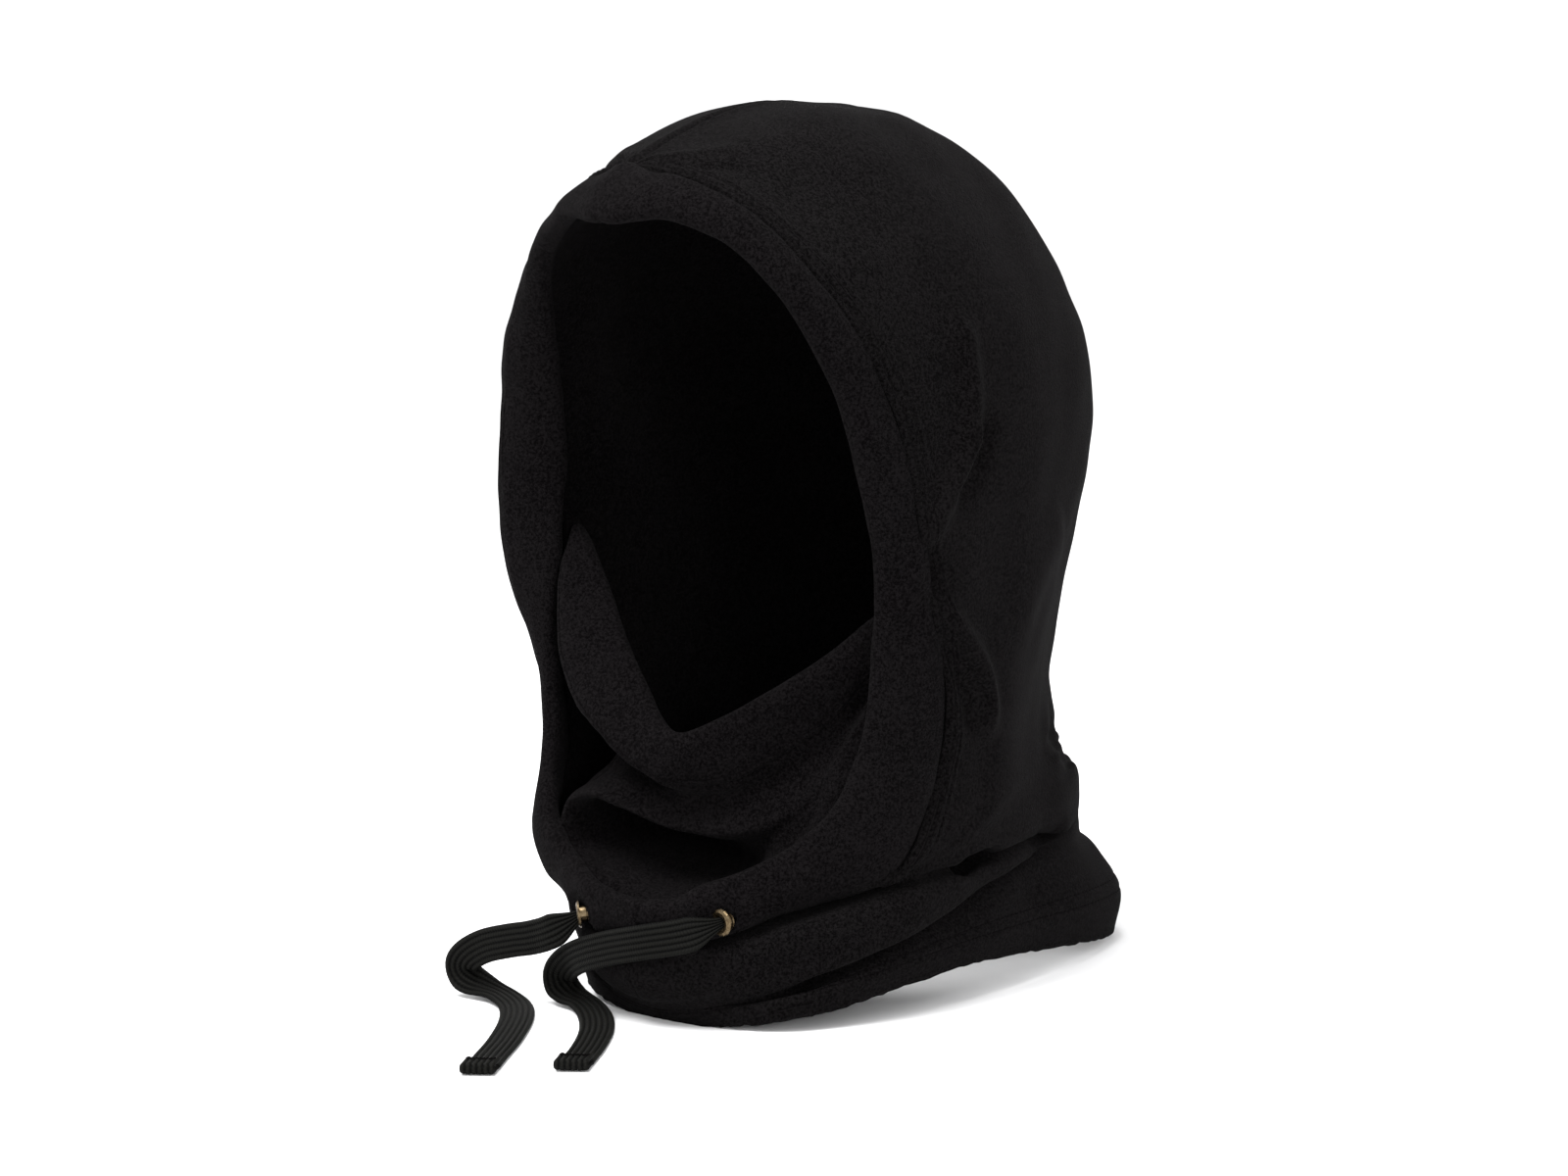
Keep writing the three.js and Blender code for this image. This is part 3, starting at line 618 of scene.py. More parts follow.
RIM = {
    "left": [(0, -116, 51), (16, -112, 53), (26, -108, 58), (36, -99, 62), (48, -89, 69), (58, -80, 78),
             (67, -72, 91), (72, -66, 108), (74, -61, 127), (75, -59, 150), (76, -59, 169),
             (76, -61, 192), (76, -67, 215), (75, -73, 238), (73, -82, 259), (69, -90, 276),
             (62, -101, 293), (50, -108, 306), (36, -114, 313), (22, -119, 317), (0, -127, 315)],
    "right": [(0, -116, 51), (16, -114, 52), (30, -112, 55), (43, -107, 60), (56, -102, 68),
              (66, -98, 78), (73, -92, 91), (76, -87, 108), (78, -83, 127), (79, -79, 150),
              (79, -76, 169), (78, -73, 192), (77, -71, 215), (75, -74, 238), (71, -80, 259),
              (65, -88, 276), (58, -97, 293), (47, -106, 306), (34, -113, 313), (21, -119, 317),
              (0, -127, 315)],
}
NECK = [
    [(0, -104, 0), (58, -86, 7), (80, -6, 16), (64, 107, 4), (0, 134, 0)],
    [(0, -107, 4), (60, -87, 16), (83, -6, 26), (66, 110, 22), (0, 136, 19)],
    [(0, -111, 9), (59, -83, 21), (80, -5, 39), (60, 104, 38), (0, 130, 38)],
    [(0, -117, 13), (64, -80, 29), (82, -4, 46), (56, 97, 46), (0, 121, 46)],
    [(0, -121, 23), (67, -78, 40), (85, -4, 53), (55, 97, 52), (0, 121, 52)],
]
HOOD = [
    (0, [(48, -88, 43), (84, -6, 58), (55, 97, 56), (0, 119, 56)]),
    (2, [(62, -68, 50), (86, -2, 64), (54, 99, 65), (0, 120, 65)]),
    (4, [(80, -38, 62), (86, 4, 72), (54, 97, 76), (0, 117, 76)]),
    (6, [(87, -18, 76), (86, 14, 83), (48, 90, 86), (0, 109, 86)]),
    (7, [(87, -12, 94), (84, 18, 99), (46, 90, 101), (0, 107, 101)]),
    (8, [(87, -8, 116), (84, 22, 120), (46, 88, 122), (0, 105, 122)]),
    (9, [(90, -8, 142), (86, 26, 147), (50, 91, 150), (0, 107, 150)]),
    (10, [(94, -12, 170), (90, 28, 176), (55, 96, 180), (0, 112, 180)]),
    (11, [(96, -18, 198), (92, 28, 205), (60, 100, 210), (0, 117, 210)]),
    (12, [(96, -22, 226), (94, 26, 234), (61, 101, 240), (0, 119, 242)]),
    (13, [(94, -30, 255), (92, 20, 265), (59, 92, 272), (0, 111, 276)]),
    (14, [(88, -42, 283), (84, 8, 295), (53, 76, 303), (0, 94, 309)]),
    (15, [(76, -58, 306), (71, -8, 321.5), (46, 49, 330), (0, 65, 336)]),
    (16, [(54, -76, 325), (54, -36, 340), (38, 8, 350.5), (0, 18, 355.5)]),
    (17, [(29, -94, 336), (28, -70, 346), (20, -48, 354), (0, -44, 356.5)]),
    (18, [(0, -110, 336), (0, -110, 336), (0, -110, 336), (0, -110, 336)]),
]
FOLLOWS_SEAM = [0.45, 0.1, 0, 0]        # how much each column moves along with the right seam
NECK_FORWARD = [2, 3, 4, 7, 10]         # how far the right neck rows are pushed forward
CHIN_CORNER = 3                         # the seam point that leads the rows below the chin
CLOTH = 2.6               # thickness of the hood's cloth
HEM = 4.6                 # thickness of its doubled hem
CENTRE_GAP = 0.05         # from each panel's outer face to the middle
CENTRE_CROSS = 0.7        # how far each panel's inner face goes past the middle
ROW_STEPS = 12            # fine rows from one control row to the next
COLUMN_STEPS = (44, 34, 30, 20)         # fine columns between two control columns
CROWN_STOP = 1.06         # the rows end this much short of the crown's single point

# Levels count the control rows from the hem up, with fractions between them. Each pair below is
# where something starts to fade in or out and where that is done.
LEVELS = {
    "cut_edge": (0.0, 0.28),
    "calm_hem": (0.2, 1.5),         # ripples come in above the hem
    "doubled_hem": (1.2, 1.7),      # the cloth thins to one layer
    "chin_from": (4.2, 5.0),        # the dip under the casing
    "chin_to": (5.8, 7.0),
    "seam_band": (7.2, 8.2),        # grooves of the casing's seam
}
STITCHED_FROM = 7.6                                 # needle lines run from here
STITCHED_TO = len(NECK) + len(HOOD) - 1.6           # to here


def control_net(side):
    """Control points of a panel; the right one is pushed forward with its seam."""
    rows = []
    for k, row in enumerate(NECK):
        points = np.array(row, float)
        if side == "right":
            points[1, 1] -= NECK_FORWARD[k]
        rows.append(points)
    for seam, row in HOOD:
        leader = max(seam, CHIN_CORNER)
        push = np.array(SEAM[side][leader], float) - SEAM["left"][leader]
        rest = np.array(row, float) + np.outer(FOLLOWS_SEAM, push)
        rows.append(np.vstack([SEAM[side][seam], rest]))
    return np.array(rows)


def hood_grid(side):
    """Fine grid of one panel as distances from the middle: rows x columns x 3."""
    net = control_net(side)
    levels = np.linspace(0, len(net) - CROWN_STOP, (len(net) - 1) * ROW_STEPS + 1)
    rows = spline(net, levels)
    # the front edge runs along the very seam that the casing is sewn to
    sewn = levels >= len(NECK)
    at_seam = np.interp(levels[sewn], np.arange(len(NECK), len(net)), [seam for seam, _ in HOOD])
    rows[sewn, 0] = spline(SEAM[side], at_seam)
    front, a, c = rows[:, 0], rows[:, 1], rows[:, 3]
    mirror = np.array([-1, 1, 1])
    opens = smooth_step(levels, len(NECK) - 0.3, len(NECK) + 0.4)[:, None]
    before = (1 - opens) * a * mirror + opens * (2 * front - a)
    ring = np.concatenate([before[:, None], rows, (c * mirror)[:, None]], 1)
    at = np.concatenate([1 + k + np.arange(n) / n for k, n in enumerate(COLUMN_STEPS)] + [[5.0]])
    grid = np.stack([spline(r, at) for r in ring])
    grid[..., 0] = np.maximum(grid[..., 0], CENTRE_GAP)
    return grid, levels


# Folds of the cloth: a line of points, how high (or deep) and how wide it is, and whether it is a
# sharp crease. FOLDS are on both sides of the head, CHEEK_FOLDS on its left side only.
FIRST_CREASE = [(77, -38, 56), (82, -20, 56.5), (84, -4, 57.5), (80, 28, 59.5), (76, 45, 59),
                (68, 70, 56), (50, 98, 57)]
SECOND_CREASE = [(20, -110, 7), (53, -91, 17), (72, -55, 32), (80, -13, 41.5), (79, 14, 47),
                 (76, 38, 50.5), (69, 62, 51.5), (60, 84, 50)]
FOLDS = [
    # crease from under the chin to the nape, deepest in two places
    (FIRST_CREASE, -9.5, 2.8, True),
    ([(82, -18, 56.5), (84, -4, 57.5), (83, 8, 58)], -9.0, 3.6, False),
    ([(77, 38, 59), (74, 52, 58), (70, 66, 57)], -9.5, 3.6, False),
    # soft roll of the neck between the two creases
    ([(44, -100, 32), (64, -74, 42), (80, -30, 50), (84, 0, 53)], 2.6, 5.0, False),
    # crease above the hem
    (SECOND_CREASE, -11.0, 2.6, True),
    ([(77, -24, 39), (80, -8, 43), (79, 14, 47), (76, 38, 50.5)], -4.5, 2.4, True),
    # soft line lower down on the hem band
    ([(79, -2, 30), (80, 20, 34), (76, 46, 38)], -1.4, 2.2, False),
    # gathers at the nape
    ([(66, 60, 92), (55, 84, 96), (30, 100, 100)], -2.6, 2.4, False),
    ([(66, 62, 84), (54, 86, 87), (30, 104, 90)], 2.6, 2.8, False),
    ([(68, 60, 75), (56, 88, 78), (30, 108, 80)], -2.6, 2.4, False),
    # puckers at the front end of the centre seam
    ([(6, -104, 337), (22, -92, 343), (34, -76, 345)], 2.0, 3.4, False),
    ([(12, -103, 334), (28, -96, 335), (42, -84, 336)], -1.5, 3.0, False),
    # seam ridge over the crown
    ([(4, -105, 338), (5, -88, 345), (3, -66, 351), (1, -30, 357)], 1.0, 4.5, False),
]
CHEEK_FOLDS = [
    # from the cheek up over the side of the head
    ([(93, -49, 188), (95, -39, 204), (96, -26, 222), (96, -21, 236)], 5.2, 5.0, False),
    ([(96, -24, 222), (96, -21, 250), (94, -22, 278)], 4.6, 5.2, False),
    ([(94, -33, 200), (96, -16, 222), (96, -10, 240)], -3.0, 5.0, False),
    # from the cheek down over the jaw
    ([(92, -38, 168), (91, -28, 155), (90, -14, 140), (88, -5, 124), (87, -2, 104)], 5.0, 4.4, False),
    ([(91, -38, 158), (89, -28, 142), (87, -18, 124), (86, -14, 106)], -3.4, 4.4, False),
    # where the cheek is drawn in
    ([(93, -47, 190), (92, -42, 178), (91, -40, 166)], -3.8, 4.8, False),
    ([(80, 56, 186), (89, 28, 168), (90, 10, 148)], 2.0, 13.0, False),
]

# Creases that the cloth above hangs over: a line and how far it droops.
OVERHANGS = [(FIRST_CREASE, 3.4), (SECOND_CREASE, 3.8)]
DROOP_AT = 3.5            # height above the crease where the cloth droops most
CHIN_DIP = 8.5            # how deep the cloth goes in under the casing at the chin
CHIN_DIP_WIDTH = 5.0
NECK_MIDDLE = np.array([0, -40, 0])     # it goes in towards here
NECK_FRONT = (40, 70)     # in front of the middle, below NECK_TOP, the centre seam is pressed flat
NECK_TOP = (60, 90)
CENTRE_EDGE_AT = 3.6      # distance of the centre seam's raised edge from the middle
NAPE_ELASTIC_Z = 92       # height of the elastic that gathers the nape
NAPE_BACK = (40, 90)      # the gathers come in behind this


def fold_heights(points, side):
    total = np.zeros(len(points))
    folds = FOLDS + CHEEK_FOLDS if side == "left" else FOLDS
    for line, height, width, sharp in folds:
        gap, along = distance_to(points, evenly(line, 4))
        shape = np.exp(-gap / width) if sharp else bell(gap, width)
        total += height * fading_ends(along, 0.22) * shape
    return total


def hang_over(points, normals):
    """Cloth just above each crease of OVERHANGS slides down and out over it."""
    for line, droop in OVERHANGS:
        curve = evenly(line, 4)
        run = lengths(curve)
        gap, along = distance_to(points, curve)
        above = points[:, 2] - np.interp(along, run / run[-1], curve[:, 2])
        near = bell(above - DROOP_AT, 3.2) * (1 - smooth_step(gap, 9, 13))
        slide = droop * fading_ends(along, 0.22) * near
        points = points - slide[:, None] * [0, 0, 1] + 0.5 * slide[:, None] * normals
    return points


NEEDLE_LINES = (3.6, 8.0)               # distances from the casing's seam
HEM_STITCH_LEVELS = (1.0, 1.32)


def seam_band(distance):
    """Height of the cloth beside the casing's seam: a groove, and two needle lines with ridges."""
    needles = sum(groove("needle", distance - d) for d in NEEDLE_LINES)
    ridges = 0.8 * (smooth_step(distance, 0.5, 2.0) - smooth_step(distance, 8.6, 10.5))
    return groove("seam", distance) + needles + ridges


def panel_heights(flat, level, side, from_seam):
    """How far each point of a panel stands out of its smooth surface; x is from the middle."""
    x, y, z = flat.T
    heights = fold_heights(flat, side)
    heights += seam_band(from_seam) * smooth_step(level, *LEVELS["seam_band"])
    # centre seam: a groove with a soft edge beside it, pressed flat in front of the neck
    shown = 1 - smooth_step(-y, *NECK_FRONT) * (1 - smooth_step(z, *NECK_TOP))
    heights += shown * (groove("centre_seam", x) + groove("centre_edge", x - CENTRE_EDGE_AT))
    heights += smooth_step(level, *LEVELS["calm_hem"]) * ripples("hood", flat)
    # nape gathers: short upright puckers over the elastic
    nape = bell(z - NAPE_ELASTIC_Z, 14) * smooth_step(y, *NAPE_BACK)
    heights += 1.1 * nape * np.sin(x * 0.62 + 0.5 * np.sin(z * 0.2))
    # double stitching of the hem sits in two shallow grooves
    for row_level in HEM_STITCH_LEVELS:
        heights += groove("hem_stitch", level - row_level)
    # cut edge with its pile
    edge = 1 - smooth_step(level, *LEVELS["cut_edge"])
    return heights + edge * ripples("cut_edge", flat)


def hood_panel(side):
    mirror = np.array([SIDES[side], 1, 1])
    grid, levels = hood_grid(side)
    rows, cols = grid.shape[:2]
    flat = grid.reshape(-1, 3)
    normals = grid_normals(grid).reshape(-1, 3)
    level = np.repeat(levels, cols)

    from_seam, _ = distance_to(flat, evenly(SEAM[side], 5))
    at_chin = (smooth_step(level, *LEVELS["chin_from"])
               * (1 - smooth_step(level, *LEVELS["chin_to"])))
    dip = at_chin * bell(from_seam, CHIN_DIP_WIDTH)
    heights = panel_heights(flat, level, side, from_seam) * (1 - dip)
    outer = flat + normals * heights[:, None]
    outer = hang_over(outer, normals)
    inward = unit((NECK_MIDDLE - outer) * [1, 1, 0])
    outer = (outer + inward * (CHIN_DIP * dip)[:, None]).reshape(grid.shape)
    soft = smoothed(grid_normals(outer), 6, 1)
    thick = HEM + (CLOTH - HEM) * smooth_step(levels, *LEVELS["doubled_hem"])[:, None, None]
    inner = outer - soft * thick
    outer[..., 0] = np.maximum(outer[..., 0], CENTRE_GAP)
    # the inner layers cross at the centre seam, so that no light comes through it
    crossing = outer[..., 0] < CENTRE_GAP + 0.1
    inner[..., 0] = np.where(crossing, -CENTRE_CROSS, np.maximum(inner[..., 0], CENTRE_GAP))
    for layer in (outer, inner):
        layer[..., 2] = np.maximum(layer[..., 2], 0.05)

    hem = rounded_edge(outer, inner, np.array([0, 0, -1.0]))
    hem[..., 2] = np.maximum(hem[..., 2], 0.0)
    vertices = np.concatenate([outer[::-1], hem, inner]).reshape(-1, 3) * mirror
    panel = outward(mesh_object(f"hood_{side}", vertices, layered_faces(rows, cols)))
    finish_piece(panel, FLEECE, "root")
    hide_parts(f"hood_panel_{side}")
    return outer * mirror, levels


panels = {side: hood_panel(side) for side in SIDES}

STITCH_LENGTH = 2.6
STITCH_PITCH = STITCH_LENGTH + 0.7      # from the start of one stitch to the next


def stitches(name, line, node, radius=THREAD_RADIUS, body="root"):
    """A row of separate stitches along a line, as one mesh that stands for a node."""
    sides, steps = 6, 5
    vertices, faces = [], []
    for k in range(int(lengths(line)[-1] / STITCH_PITCH)):
        points = at_lengths(line, k * STITCH_PITCH + np.linspace(0, STITCH_LENGTH, steps))
        tangent = unit(points[-1] - points[0])
        helper = np.array([0, 0, 1.0]) if abs(tangent[2]) < 0.9 else np.array([1.0, 0, 0])
        u = unit(np.cross(tangent, helper))
        v = np.cross(tangent, u)
        start = len(vertices)
        for m, p in enumerate(points):
            # thin where the stitch dips into the cloth, full in the middle
            r = radius * (0.35 + 0.65 * math.sin(math.pi * (m + 0.35) / (steps - 0.3)))
            for s in range(sides):
                a = 2 * math.pi * s / sides
                vertices.append(p + r * (math.cos(a) * u + math.sin(a) * v))
        faces += [tuple(f) for f in grid_faces(steps, sides, start, wrap_cols=True)]
        faces.append(tuple(start + s for s in range(sides))[::-1])
        faces.append(tuple(start + (steps - 1) * sides + s for s in range(sides)))
    row = outward(mesh_object(name, np.array(vertices), faces))
    finish_piece(row, THREAD, body)
    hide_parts(node)


def line_beside_seam(side, distance):
    """Line on a panel's outer face at a distance from the casing's seam, chin to crown."""
    outer, levels = panels[side]
    stitched = (levels >= STITCHED_FROM) & (levels <= STITCHED_TO)
    return np.array([at_lengths(row, [distance])[0] for row in outer[stitched]])


def seam_stitching():
    names = ("casing_topstitch_inner", "casing_topstitch_outer")
    for name, distance in zip(names, NEEDLE_LINES):
        halves = [line_beside_seam(side, distance) for side in SIDES]
        line = np.concatenate([halves[0], halves[1][::-1]])
        stitches(name.replace("casing_topstitch", "seam_stitches"), line, name)


def hem_stitching():
    for name, level in zip(("hem_stitch_lower", "hem_stitch_upper"), HEM_STITCH_LEVELS):
        halves = [outer[np.argmin(np.abs(levels - level))] for outer, levels in panels.values()]
        line = np.concatenate([halves[0], halves[1][::-1]])
        stitches(name.replace("stitch", "stitches"), line, name)


seam_stitching()
hem_stitching()

# ---- Casing round the face opening ----

CASING_HALF = 5.0         # half the casing's thickness
CASING_WALL = 2.0         # thickness of its cloth
CROWN_FROM_Z = 250        # what happens at the crown happens above this
SEAM_LAP = 1.4            # how far the casing's edge is sewn in under the hood's cloth
SEAM_DIVE = 2.3           # how deep it goes there
CROWN_LAP = 3.5           # and how much more of both at the crown, where the centre seam ends
CROWN_DIVE = 1.0
HEAD_CENTRE = np.array([0, 0, 175.0])
# Cloth round an eyelet, by distance from its axis: pressed in evenly up to `flat` and less up to
# `flange`, and open inside `bore`; `reach` is how far along the axis that holds.
EYELET_SEAT = {"reach": 6, "flat": 6.2, "flange": 9.5, "press": 1.7, "bore": 3.1, "open": 4.2}
STATIONS = 330            # stations on each side
SECTION = 40              # points round the casing
CROWN_REACH = 11          # stations taken together on each side where the rim is rounded
EYELET_FLAT = (9, 20)     # distances from an eyelet between which the casing starts to thin down
SEAM_EDGE = (0.72, 1.0)   # share of the way to its edge where the casing dives under the hood
# Puckers on the outside of the casing: a line, its height and its width.
CASING_FOLDS = [
    ([(92, -49, 184), (89, -52, 172), (85, -53, 158)], 1.6, 2.6),
    ([(88, -45, 152), (85, -50, 142), (80, -53, 132)], 1.6, 2.4),
    ([(90, -47, 170), (88, -50, 160), (84, -54, 148)], -1.2, 2.6),
    ([(90, -56, 216), (84, -60, 205), (80, -62, 192)], 0.9, 3.0),
    ([(6, -112, 334), (14, -114, 329), (24, -115, 322)], 1.8, 3.0),
    ([(14, -108, 335), (26, -108, 331), (38, -106, 324)], 1.3, 2.6),
]


def round_opening(lines):
    """Stations along the left side's line, chin to crown, and back along the right side's."""
    halves = []
    for side, sign in SIDES.items():
        fine = spline(lines[side], np.linspace(0, len(lines[side]) - 1, 3000))
        at = np.linspace(0, lengths(fine)[-1], STATIONS + 1)
        halves.append(at_lengths(fine, at) * [sign, 1, 1])
    return np.concatenate([halves[0], halves[1][::-1][1:-1]])


def casing_stations():
    """Seam, rim, the ways across the casing and out of it, and its width, at each station."""
    seam, rim = round_opening(SEAM), round_opening(RIM)
    # the free edge is rounded where both halves meet at the crown
    turned = np.mean([np.roll(rim, k, 0) for k in range(-CROWN_REACH, CROWN_REACH + 1)], axis=0)
    share = (bell(rim[:, 0], 24) * (rim[:, 2] > CROWN_FROM_Z))[:, None]
    rim = rim + (turned - rim) * share
    middle = seam + rim
    along = unit(np.roll(middle, -1, 0) - np.roll(middle, 1, 0))
    across = rim - seam
    width = np.linalg.norm(across, axis=1)
    across = unit(across)
    out = unit(np.cross(across, along))
    wrong = np.sum(out * (middle / 2 - HEAD_CENTRE), axis=1) < 0
    out[wrong] *= -1
    return seam, rim, across, out, width


def face_casing():
    seam, rim, across, out, width = casing_stations()
    angle = np.linspace(0, 2 * math.pi, SECTION, endpoint=False)
    u = np.sign(np.cos(angle)) * np.abs(np.cos(angle)) ** 0.9
    full = np.sign(np.sin(angle)) * np.abs(np.sin(angle)) ** 0.85
    # towards the hood's seam the casing thins down to the flat of the stitching
    thinned = np.where(u < 0, np.sign(full) * (1 - np.abs(u) ** 1.5), full)
    crown = bell(rim[:, 0], 7) * (rim[:, 2] > CROWN_FROM_Z)
    half = (width + SEAM_LAP + CROWN_LAP * crown) / 2
    centre = rim - across * half[:, None]
    eyelets = [eyelet_axis(side)[0] for side in SIDES]
    from_eyelet = np.min([np.linalg.norm(centre - place, axis=1) for place in eyelets], axis=0)
    share = smooth_step(from_eyelet, *EYELET_FLAT)[:, None]
    v = full * (1 - share) + thinned * share
    dive = (SEAM_DIVE + CROWN_DIVE * crown)[:, None]
    rings = (centre[:, None] + across[:, None] * (u[None] * half[:, None])[..., None]
             + out[:, None] * (v * CASING_HALF - dive * smooth_step(-u, *SEAM_EDGE))[..., None])
    flat = rings.reshape(-1, 3)
    normals = unit(across[:, None] * np.cos(angle)[None, :, None] / half[:, None, None]
                   + out[:, None] * np.sin(angle)[None, :, None] / CASING_HALF).reshape(-1, 3)
    outside = np.repeat((np.sin(angle) > 0.1)[None], len(rings), 0).ravel()
    heights = ripples("casing", flat)
    # join across the casing at the crown
    heights += np.where(flat[:, 2] > CROWN_FROM_Z, groove("crown_join", np.abs(flat[:, 0]) - 0.5), 0)
    for line, height, reach in CASING_FOLDS:
        gap, part = distance_to(flat, evenly(line, 2))
        heights += np.where(outside, height * fading_ends(part, 0.3) * bell(gap, reach), 0)
    flat = flat + normals * heights[:, None]
    # both faces of the folded strip, with the drawcord's channel inside; the grid faces outward
    skins = [seat_eyelets(flat), seat_eyelets(flat - normals * CASING_WALL)]
    faces = grid_faces(len(rings), SECTION, wrap_rows=True, wrap_cols=True)
    casing = mesh_object("casing", np.concatenate(skins),
                         np.concatenate([faces, faces[:, ::-1] + len(flat)]))
    finish_piece(casing, CASING_FLEECE, "root")
    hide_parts("face_casing")


def seat_eyelets(points):
    """The cloth is pressed in under each eyelet's flange and open inside its barrel."""
    seat = EYELET_SEAT
    for side in SIDES:
        centre, axis = eyelet_axis(side)
        offset = points - centre
        depth = offset @ axis
        radius = np.linalg.norm(offset - np.outer(depth, axis), axis=1)
        near = np.abs(depth) < seat["reach"]
        press = near * seat["press"] * (1 - smooth_step(radius, seat["flat"], seat["flange"]))
        hole = np.where(near & (radius < seat["bore"]), seat["open"], 0)
        points = points - np.outer(press + hole, axis)
    return points


face_casing()

# ---- Face mask ----

# Rows of the mask from its taut top edge down, right cheek to left cheek: top edge, lower edge of
# the rolled band, the hollow under it, two rows of a slack swell, two of the valley under that, a
# second swell, and the foot behind the casing.
MASK_ROWS = [
    [(-78, -64, 189), (-70, -66, 180), (-57, -70, 162), (-42, -78, 146), (-24, -86, 130),
     (-8, -93, 116), (4, -93, 112), (20, -83, 119), (36, -71, 130), (52, -58, 143), (66, -48, 157),
     (80, -42, 168)],
    [(-79, -67, 186), (-75, -78, 168), (-67, -88, 143), (-53, -95, 124), (-34, -100, 110),
     (-17, -98, 99), (-3, -93, 93), (16, -79, 94), (32, -67, 104), (48, -55, 117), (62, -47, 136),
     (79, -39, 150)],
    [(-80, -60, 174), (-72, -62, 150), (-62, -62, 125), (-46, -66, 108), (-30, -76, 100),
     (-15, -82, 92), (-2, -82, 86), (16, -73, 88), (32, -62, 97), (48, -52, 110), (62, -44, 129),
     (78, -37, 144)],
    [(-72, -52, 136), (-64, -54, 116), (-55, -66, 97), (-46, -85, 91), (-34, -93, 89),
     (-20, -90, 85), (-5, -84, 80), (14, -76, 79), (31, -67, 84), (47, -56, 98), (61, -48, 122),
     (77, -37, 140)],
    [(-70, -48, 122), (-62, -50, 102), (-59, -82, 86), (-55, -95, 83), (-42, -96, 84),
     (-24, -94, 79), (-7, -87, 73), (13, -79, 71), (30, -71, 77), (46, -61, 91), (60, -52, 116),
     (76, -37, 137)],
    [(-66, -46, 106), (-62, -52, 90), (-61, -85, 77), (-58, -97, 76), (-48, -72, 78),
     (-30, -62, 75), (-10, -60, 70), (9, -66, 66), (28, -70, 70), (45, -63, 84), (59, -54, 110),
     (75, -37, 133)],
    [(-64, -46, 92), (-61, -58, 76), (-61, -87, 67), (-58, -98, 66), (-48, -68, 65),
     (-30, -54, 62), (-11, -50, 57), (8, -58, 56), (28, -72, 62), (45, -66, 76), (59, -56, 104),
     (75, -37, 129)],
    [(-62, -46, 72), (-60, -64, 62), (-59, -88, 57), (-55, -100, 55), (-38, -100, 54),
     (-20, -98, 51), (-3, -94, 48), (13, -93, 50), (30, -88, 56), (47, -74, 68), (61, -58, 94),
     (75, -40, 122)],
    [(-60, -50, 60), (-61, -68, 56), (-58, -88, 50), (-50, -97, 46), (-33, -102, 44),
     (-17, -106, 42), (-1, -108, 41), (16, -104, 43), (31, -97, 48), (50, -77, 58), (65, -58, 80),
     (76, -45, 108)],
]
MASK_STEPS = (16, 14)     # fine rows and columns between two control points
BAND_STITCH = 0.86        # where the band's stitching runs, from 0 at its top to 1 at its lower edge
MASK_CLOTH = 2.4          # thickness of the mask's cloth
BAND_EXTRA = 1.4          # what the rolled band adds to it


def face_mask():
    net = np.array(MASK_ROWS, float)
    levels = np.linspace(0, len(net) - 1, (len(net) - 1) * MASK_STEPS[0] + 1)
    columns = (net.shape[1] - 1) * MASK_STEPS[1] + 1
    rows = spline(net, levels)
    across = np.linspace(0, net.shape[1] - 1, columns)
    grid = spline(rows.transpose(1, 0, 2), across).transpose(1, 0, 2)
    normals = smoothed(-grid_normals(grid), 4, 2)
    flat = grid.reshape(-1, 3)
    level = np.repeat(levels, columns)
    heights = ripples("mask", flat)
    # the rolled band stands proud of the cloth below it, and its stitching pulls in a soft line
    heights += 1.0 * (smooth_step(level, 0.0, 0.15) - smooth_step(level, 0.96, 1.08))
    heights += groove("band_stitch", level - BAND_STITCH)
    heights += groove("under_band", level - 1.1)
    outer = grid + normals * heights.reshape(grid.shape[:2])[..., None]
    thick = MASK_CLOTH + BAND_EXTRA * (1 - smooth_step(levels, 0.9, 1.2))
    inner = outer - normals * thick[:, None, None]
    top = rounded_edge(outer, inner, unit(outer[0] - outer[3]))
    vertices = np.concatenate([outer[::-1], top, inner]).reshape(-1, 3)
    mask = outward(mesh_object("face_mask", vertices, layered_faces(len(levels), columns)))
    finish_piece(mask, MASK_FLEECE, None)
    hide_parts("mask_band", "mask_panel")
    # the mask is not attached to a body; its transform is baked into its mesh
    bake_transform(mask)

    stitch_level = int(round(BAND_STITCH * MASK_STEPS[0]))
    line = outer[stitch_level, 12:-10] + normals[stitch_level, 12:-10] * 0.1
    stitches("mask_hem_stitches", line, "mask_hem_stitch", radius=0.26, body="mask")


face_mask()

# ---- Carried-over parts ----


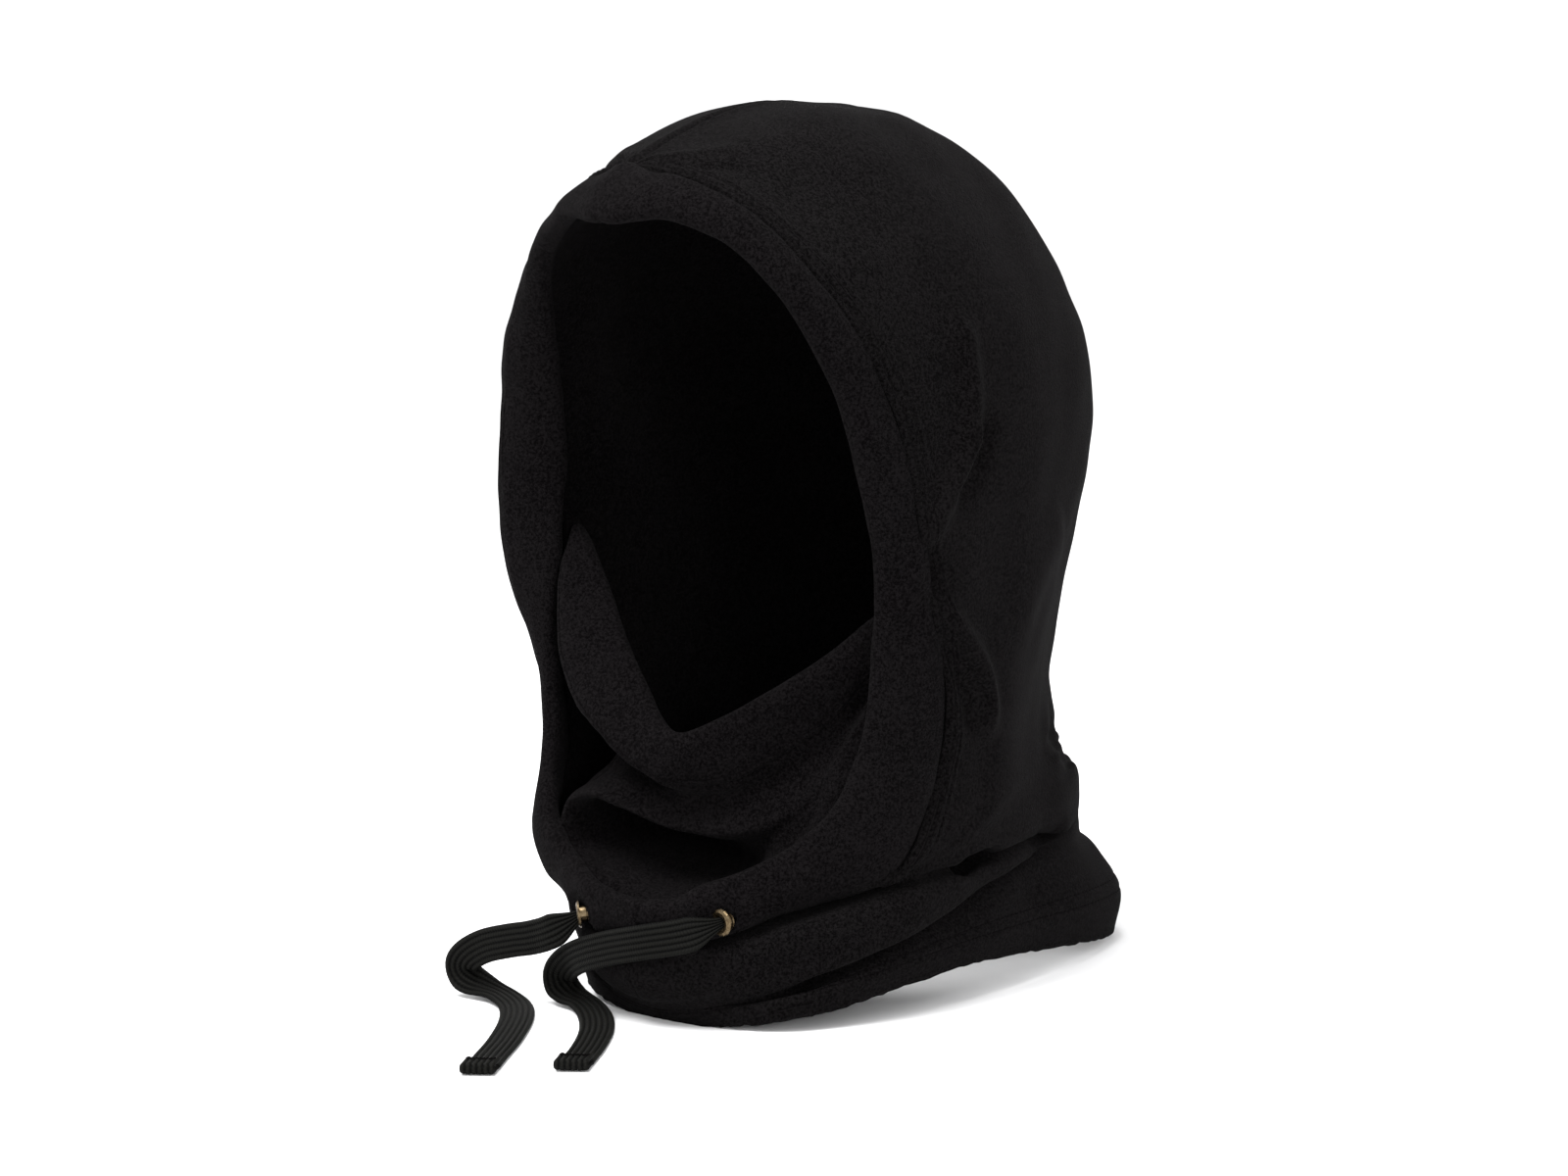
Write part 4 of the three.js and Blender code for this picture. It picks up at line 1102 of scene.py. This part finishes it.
def paint_nodes():
    paints = {"drawcord_in_casing": INNER_BRAID, "nape_elastic": ELASTIC, "centre_seam_allowance": THREAD}
    for side in SIDES:
        paints |= {f"eyelet_{side}": BRASS, f"eyelet_washer_{side}": BRASS, f"mask_bartack_{side}": THREAD}
    for name, material in paints.items():
        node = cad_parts[name]
        node.data.materials.clear()
        node.data.materials.append(material)


paint_nodes()

# ---- Floor, background and light ----

FLOOR_HALF = 30.0         # metres
WORLD_STRENGTH = 1.36
LIT_POINT = (0, 0, 0.18)
# Lamps: place in metres, size in metres, power in watts.
LAMPS = {
    "key": ((-0.3, -1.1, 1.9), 0.9, 48),
    "top": ((0.2, -0.45, 2.05), 0.9, 38),
    "rim": ((1.5, 1.2, 1.2), 0.9, 1.5),
    "fill": ((1.36, -0.75, 0.42), 0.5, 8),
}


def stage():
    mesh = bpy.data.meshes.new("floor")
    corners = [(-1, -1, 0), (1, -1, 0), (1, 1, 0), (-1, 1, 0)]
    mesh.from_pydata([Vector(corner) * FLOOR_HALF for corner in corners], [], [(0, 1, 2, 3)])
    n = Nodes("pale_floor")
    speck = n.noise(60, 2, 0.5)
    n.feed("Base Color", n.ramp(speck, [(0.2, (0.74, 0.74, 0.745)), (0.8, (0.78, 0.78, 0.785))]))
    n.set(Roughness=0.85, Specular_IOR_Level=0.2)
    mesh.materials.append(n.material)
    add_object("floor", mesh)


def area_light(name, place, size, power):
    data = bpy.data.lights.new(name, "AREA")
    data.shape = "DISK"
    data.size = size
    data.energy = power
    light = add_object(name, data)
    light.location = place
    light.rotation_euler = (Vector(LIT_POINT) - Vector(place)).to_track_quat("-Z", "Y").to_euler()


def studio():
    world = bpy.data.worlds.new("studio")
    world.use_nodes = True
    background = world.node_tree.nodes["Background"]
    background.inputs["Color"].default_value = (1, 1, 1, 1)
    background.inputs["Strength"].default_value = WORLD_STRENGTH
    bpy.context.scene.world = world
    for name, (place, size, power) in LAMPS.items():
        area_light(name, place, size, power)
    bpy.context.scene.view_settings.view_transform = "Standard"


stage()
studio()
